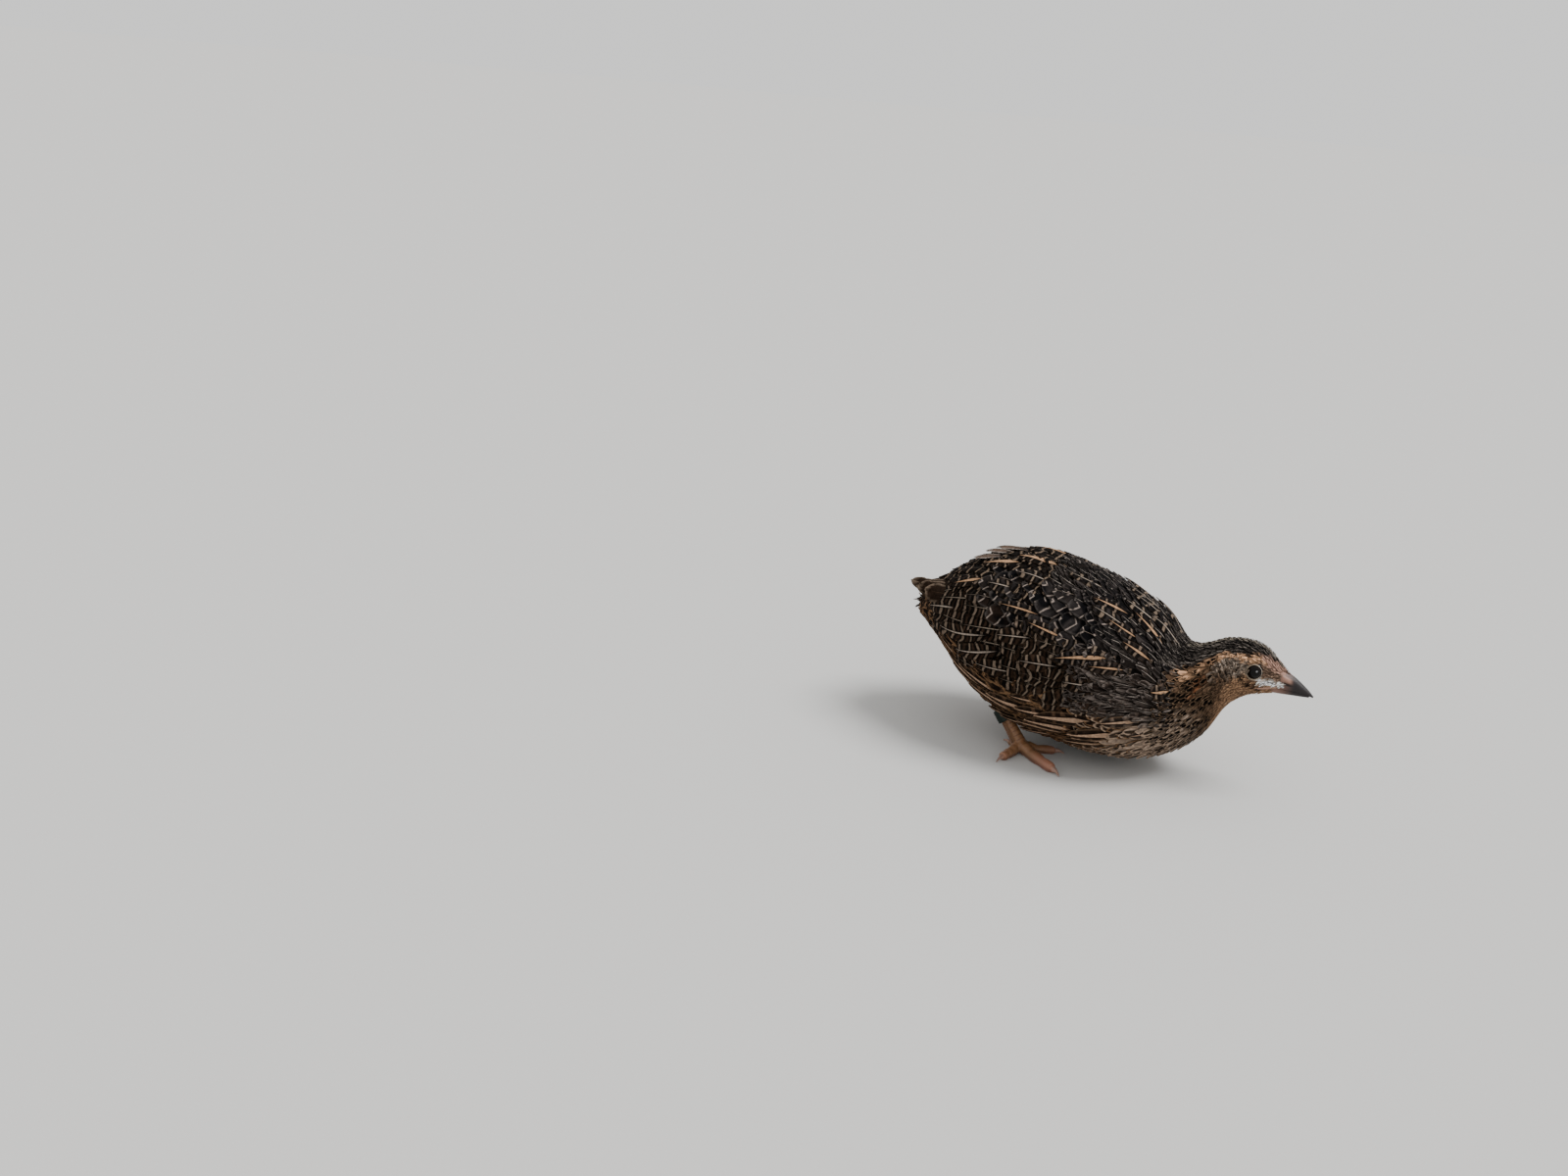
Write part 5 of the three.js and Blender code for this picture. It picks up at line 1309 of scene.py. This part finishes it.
def read_vectors(mesh, kind):
    """One vector for each point of a mesh."""
    values = np.zeros(len(mesh.vertices) * 3, np.float32)
    mesh.vertices.foreach_get(kind, values)
    return values.reshape(-1, 3)


for name, side in SIDES:
    foot = np.array([FOOT_PLACES[name][0], side * FOOT_PLACES[name][1], 0.0])
    shank_long = np.linspace(-0.6, SHANK_LONG, SHANK_STEPS)
    shank_share = np.clip(shank_long / SHANK_LONG, 0, 1)
    shank = shank_point(side, shank_long)
    limbs = {"shank": (shank, np.interp(shank_share, SHANK_SHARES, SHANK_RADII))}
    for toe_name, toe in TOES.items():
        limbs[toe_name] = toe_path(side, toe, foot, TOE_STEPS)
    points, faces, first = [], [], 0
    for path, radii in limbs.values():
        ring_points, ring_faces = tube(path, radii, LIMB_SIDES)
        points.append(ring_points)
        faces.extend(face + first for face in ring_faces)
        first += len(ring_points)
    for a, b in (("inner", "middle"), ("middle", "outer")):
        toe_a, toe_b = limbs[a][0], limbs[b][0]
        far, near = (toe_a[WEB_TO] + toe_b[WEB_TO]) / 2, (toe_a[WEB_FROM] + toe_b[WEB_FROM]) / 2
        hollow = far * WEB_HOLLOW + near * (1 - WEB_HOLLOW)
        outline = np.vstack([toe_a[WEB_FROM], toe_a[WEB_TO], hollow, toe_b[WEB_TO], toe_b[WEB_FROM]])
        half = np.array([0, 0, WEB_THICK / 2])
        count = len(outline)
        wall = np.array([(i, (i + 1) % count, (i + 1) % count + count, i + count) for i in range(count)])
        lids = [np.arange(count)[None, ::-1], np.arange(count, 2 * count)[None]]
        points.append(np.vstack([outline + half, outline - half]))
        faces.extend(face + first for face in (wall, *lids))
        first += 2 * count
    rough = mesh_object(f"leg_rough_{name}", np.vstack(points), faces, leg_material)
    whole = rough.modifiers.new("whole", "REMESH")
    whole.mode = "VOXEL"
    whole.voxel_size = VOXEL * MM
    soft = rough.modifiers.new("soft", "SMOOTH")
    soft.factor = 0.5
    soft.iterations = 5
    graph = bpy.context.evaluated_depsgraph_get()
    mesh = bpy.data.meshes.new_from_object(rough.evaluated_get(graph))
    bpy.data.objects.remove(rough)
    leg = bpy.data.objects.new(f"leg_and_foot_{name}", mesh)
    bpy.context.scene.collection.objects.link(leg)

    # Plates are cut into the skin of the shank's front and the toes' tops, each lapping over the next
    place = read_vectors(mesh, "co") / MM - SHIFT
    facing = read_vectors(mesh, "normal").astype(float)
    best = np.full(len(place), 1e9)
    along = np.zeros(len(place))
    is_shank = np.zeros(len(place), bool)
    for limb, (path, radii) in limbs.items():
        far, off = nearest_on(path, place)
        off = off - radii.mean()
        closer = off < best
        best = np.where(closer, off, best)
        along = np.where(closer, far, along)
        is_shank = np.where(closer, limb == "shank", is_shank)
    slope = shank[-1] - shank[0]
    slope = slope / np.linalg.norm(slope)
    front = np.array([1.0, 0, 0]) - slope * slope[0]
    front = front / np.linalg.norm(front)
    face_up = np.where(is_shank, facing @ front, facing[:, 2])
    plated = smooth(face_up, -0.1, 0.35)
    pitch = np.where(is_shank, SCUTE_PITCH["shank"], SCUTE_PITCH["toe"])
    phase = (along / pitch) % 1
    cut = np.exp(-((phase - 0.5) / 0.09) ** 2) * plated
    lapped = (phase - 0.5) % 1
    place = place + facing * (SCUTE_LAP * plated * lapped - SCUTE_CUT * cut)[:, None]
    place[:, 2] = np.maximum(place[:, 2], 0.0)
    mesh.vertices.foreach_set("co", ((place + SHIFT) * MM).astype(np.float32).ravel())
    mesh.update()
    mesh.polygons.foreach_set("use_smooth", np.ones(len(mesh.polygons), bool))
    mesh.materials.clear()
    mesh.materials.append(leg_material)
    tip = smooth(np.where(is_shank, 0, along), 6, 16)
    sole = 1 - smooth(facing[:, 2], -0.6, 0.0)
    leg_place = np.stack([np.clip(cut, 0, 1), np.clip(0.55 * tip + 0.4 * sole, 0, 1), plated], 1)
    set_attribute(leg, "leg_place", "FLOAT_VECTOR", leg_place)
    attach(leg, "root")
    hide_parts(f"leg_{name}", f"foot_{name}")

# Claws: blunt curved horn, pinkish brown and darker along the top. Each grows over the last bone of its
# toe, narrower than it is deep, and its worn tip rests on the ground.
CLAW_STEPS, CLAW_SIDES = 26, 20
CLAW_THICK = 0.72  # as a share of the toe's height
CLAW_TIP, CLAW_TIP_CLEAR = 0.2, 0.06
CLAW_HOOK, CLAW_NARROWER = 0.28, 0.22
claw_material, tree = new_material("claw_horn")
top_dark = node(tree, "Attribute", attribute_name="top_dark").outputs["Fac"]
claw_grain = node(tree, "TexNoise", {"Scale": 1 / (0.8 * MM), "Detail": 3.0})
claw = node(tree, "Mix", [top_dark, to_linear("#ab8574"), to_linear("#765a4d")], data_type="RGBA")
relief = node(tree, "Bump", {"Height": claw_grain, "Distance": 0.05 * MM, "Strength": 0.5})
shader = node(tree, "BsdfPrincipled", {
    "Base Color": claw, "Roughness": 0.38, "Normal": relief,
})
finish_material(tree, shader)

for name, side in SIDES:
    foot = np.array([FOOT_PLACES[name][0], side * FOOT_PLACES[name][1], 0.0])
    for toe_name, (ahead, out, _, _, height) in TOES.items():
        full = math.hypot(ahead, out)
        heading = np.array([ahead / full, side * out / full, 0])
        across = np.cross([0, 0, 1.0], heading)
        t = np.linspace(0, 1, CLAW_STEPS)
        far = full - CLAW_LONG + 0.1 + (CLAW_LONG - 0.1) * t
        drop = height * TOE_RISE + (CLAW_TIP + CLAW_TIP_CLEAR - height * TOE_RISE) * t ** 2
        hook = CLAW_HOOK * np.sin(math.pi * t ** 0.8)
        path = foot + heading * far[:, None] + np.outer(drop + hook, [0, 0, 1.0])
        radii = height * CLAW_THICK + (CLAW_TIP - height * CLAW_THICK) * t ** 0.9
        points, faces = tube(path, radii, CLAW_SIDES)
        from_path = points.reshape(CLAW_STEPS, CLAW_SIDES, 3) - path[:, None]
        rings = path[:, None] + from_path - (from_path @ across)[..., None] * across * CLAW_NARROWER
        rings[..., 2] = np.maximum(rings[..., 2], 0.0)
        made = mesh_object(f"claw_horn_{toe_name}_{name}", rings.reshape(-1, 3), faces, claw_material)
        above = (rings[..., 2] - path[:, None, 2]) / np.maximum(radii[:, None], 0.1)
        top_dark = np.clip(0.25 + 0.6 * above + 0.3 * t[:, None], 0, 1)
        set_attribute(made, "top_dark", "FLOAT", top_dark)
        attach(made, "root")
        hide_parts(f"claw_{toe_name}_{name}")

# Leg ring: a closed band of moulded nylon, dark green, put over the foot of the chick. It is plain,
# with rounded edges, and slides freely on the shank.
RING_ALONG, RING_TALL, RING_INNER, RING_OUTER, RING_EDGE = 11.8, 4.6, 2.5, 3.2, 0.22
RING_ROUNDS, RING_EDGE_STEPS = 72, 5
ring_material, tree = new_material("moulded_green_nylon")
scuffs = node(tree, "TexNoise", {"Scale": 1 / (0.9 * MM), "Detail": 5.0})
worn = node(tree, "MapRange", [scuffs, 0, 1, 0.3, 0.55])
green = node(tree, "Mix", [scuffs, to_linear("#03100b"), to_linear("#061a13")], data_type="RGBA")
shader = node(tree, "BsdfPrincipled", {
    "Base Color": green, "Roughness": worn, "Specular IOR Level": 0.25,
})
finish_material(tree, shader)
corner = np.linspace(0, math.pi / 2, RING_EDGE_STEPS)
half_tall = RING_TALL / 2 - RING_EDGE
profile = []
for out, up, start in ((1, -1, 3), (1, 1, 0), (-1, 1, 1), (-1, -1, 2)):
    radius = RING_OUTER - RING_EDGE if out > 0 else RING_INNER + RING_EDGE
    for turn in corner + start * math.pi / 2:
        profile.append((radius + RING_EDGE * math.cos(turn), up * half_tall + RING_EDGE * math.sin(turn)))
profile = np.array(profile)
slope = shank_point(-1, 1.0) - shank_point(-1, 0.0)
aside = np.cross([0, 0, 1.0], slope)
aside = aside / np.linalg.norm(aside)
forth = np.cross(slope, aside)
turn = np.linspace(0, 2 * math.pi, RING_ROUNDS, endpoint=False)[:, None, None]
outward = aside * np.cos(turn) + forth * np.sin(turn)
band = shank_point(-1, RING_ALONG) + outward * profile[None, :, :1] + slope * profile[None, :, 1:]
band_faces = grid_faces(*band.shape[:2], True, joined=True)
ring = mesh_object("leg_ring_band", band.reshape(-1, 3), [band_faces[:, ::-1]], ring_material)
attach(ring, "root")
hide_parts("leg_ring_right")

# The floor and the light of a plain studio: a pale matt floor that runs on to the horizon, one large
# soft light from above, ahead of the bird and a little to its left, and an even sky that makes the
# far floor and the background one shade. A small lamp at each side lights the eyes alone.
floor_material, tree = new_material("pale_matt_floor")
shader = node(tree, "BsdfPrincipled", {
    "Base Color": to_linear("#bcbbb9"), "Roughness": 1.0, "Specular IOR Level": 0.0,
})
finish_material(tree, shader)
FLOOR_HALF = 30000  # millimetres
corners = np.array([(-1, -1, 0), (1, -1, 0), (1, 1, 0), (-1, 1, 0)], float) * FLOOR_HALF
floor = mesh_object("floor", corners, [np.array([[0, 1, 2, 3]])], floor_material, False)

SUN_FROM = Vector((0.55, 0.25, 1.0))
SUN_STRENGTH = 3.8
SUN_WIDE = math.radians(28)
SKY_STRENGTH = 1.1
EYE_LIGHT_AWAY = 0.4  # metres from the eye, where the bird's eye mirrors it to the camera
EYE_LIGHT_WIDE = 0.17
EYE_LIGHT_POWER = 1.6
lamp = bpy.data.lights.new("soft_key_light", "SUN")
lamp.energy = SUN_STRENGTH
lamp.angle = SUN_WIDE
made = bpy.data.objects.new("soft_key_light", lamp)
made.rotation_euler = (-SUN_FROM).to_track_quat("-Z", "Y").to_euler()
bpy.context.scene.collection.objects.link(made)
EYE_FACES = (0.26, 0.23)  # how far the spot that mirrors the lamp lies ahead and above
eye_faces = -head_left + EYE_FACES[0] * head_ahead + EYE_FACES[1] * head_up
eye_faces = eye_faces / np.linalg.norm(eye_faces)
to_camera = camera_place - (EYE_MIDDLE + SHIFT) * MM
to_camera = to_camera / np.linalg.norm(to_camera)
toward_light = 2 * (eye_faces @ to_camera) * eye_faces - to_camera
eye_lamp = bpy.data.lights.new("catchlight", "AREA")
eye_lamp.shape = "DISK"
eye_lamp.size = EYE_LIGHT_WIDE
eye_lamp.energy = EYE_LIGHT_POWER
for name, side in SIDES:
    toward = toward_light * (1, -side, 1)
    made = bpy.data.objects.new(f"catchlight_{name}", eye_lamp)
    made.location = (eye_middle(side) + SHIFT) * MM + toward * EYE_LIGHT_AWAY
    made.rotation_euler = Vector(-toward).to_track_quat("-Z", "Y").to_euler()
    made.visible_camera = False
    made.light_linking.receiver_collection = both_eyes
    bpy.context.scene.collection.objects.link(made)
world = bpy.data.worlds.new("studio")
world.use_nodes = True
sky = world.node_tree.nodes["Background"]
sky.inputs["Color"].default_value = to_linear("#f5f5f4")
sky.inputs["Strength"].default_value = SKY_STRENGTH
bpy.context.scene.world = world
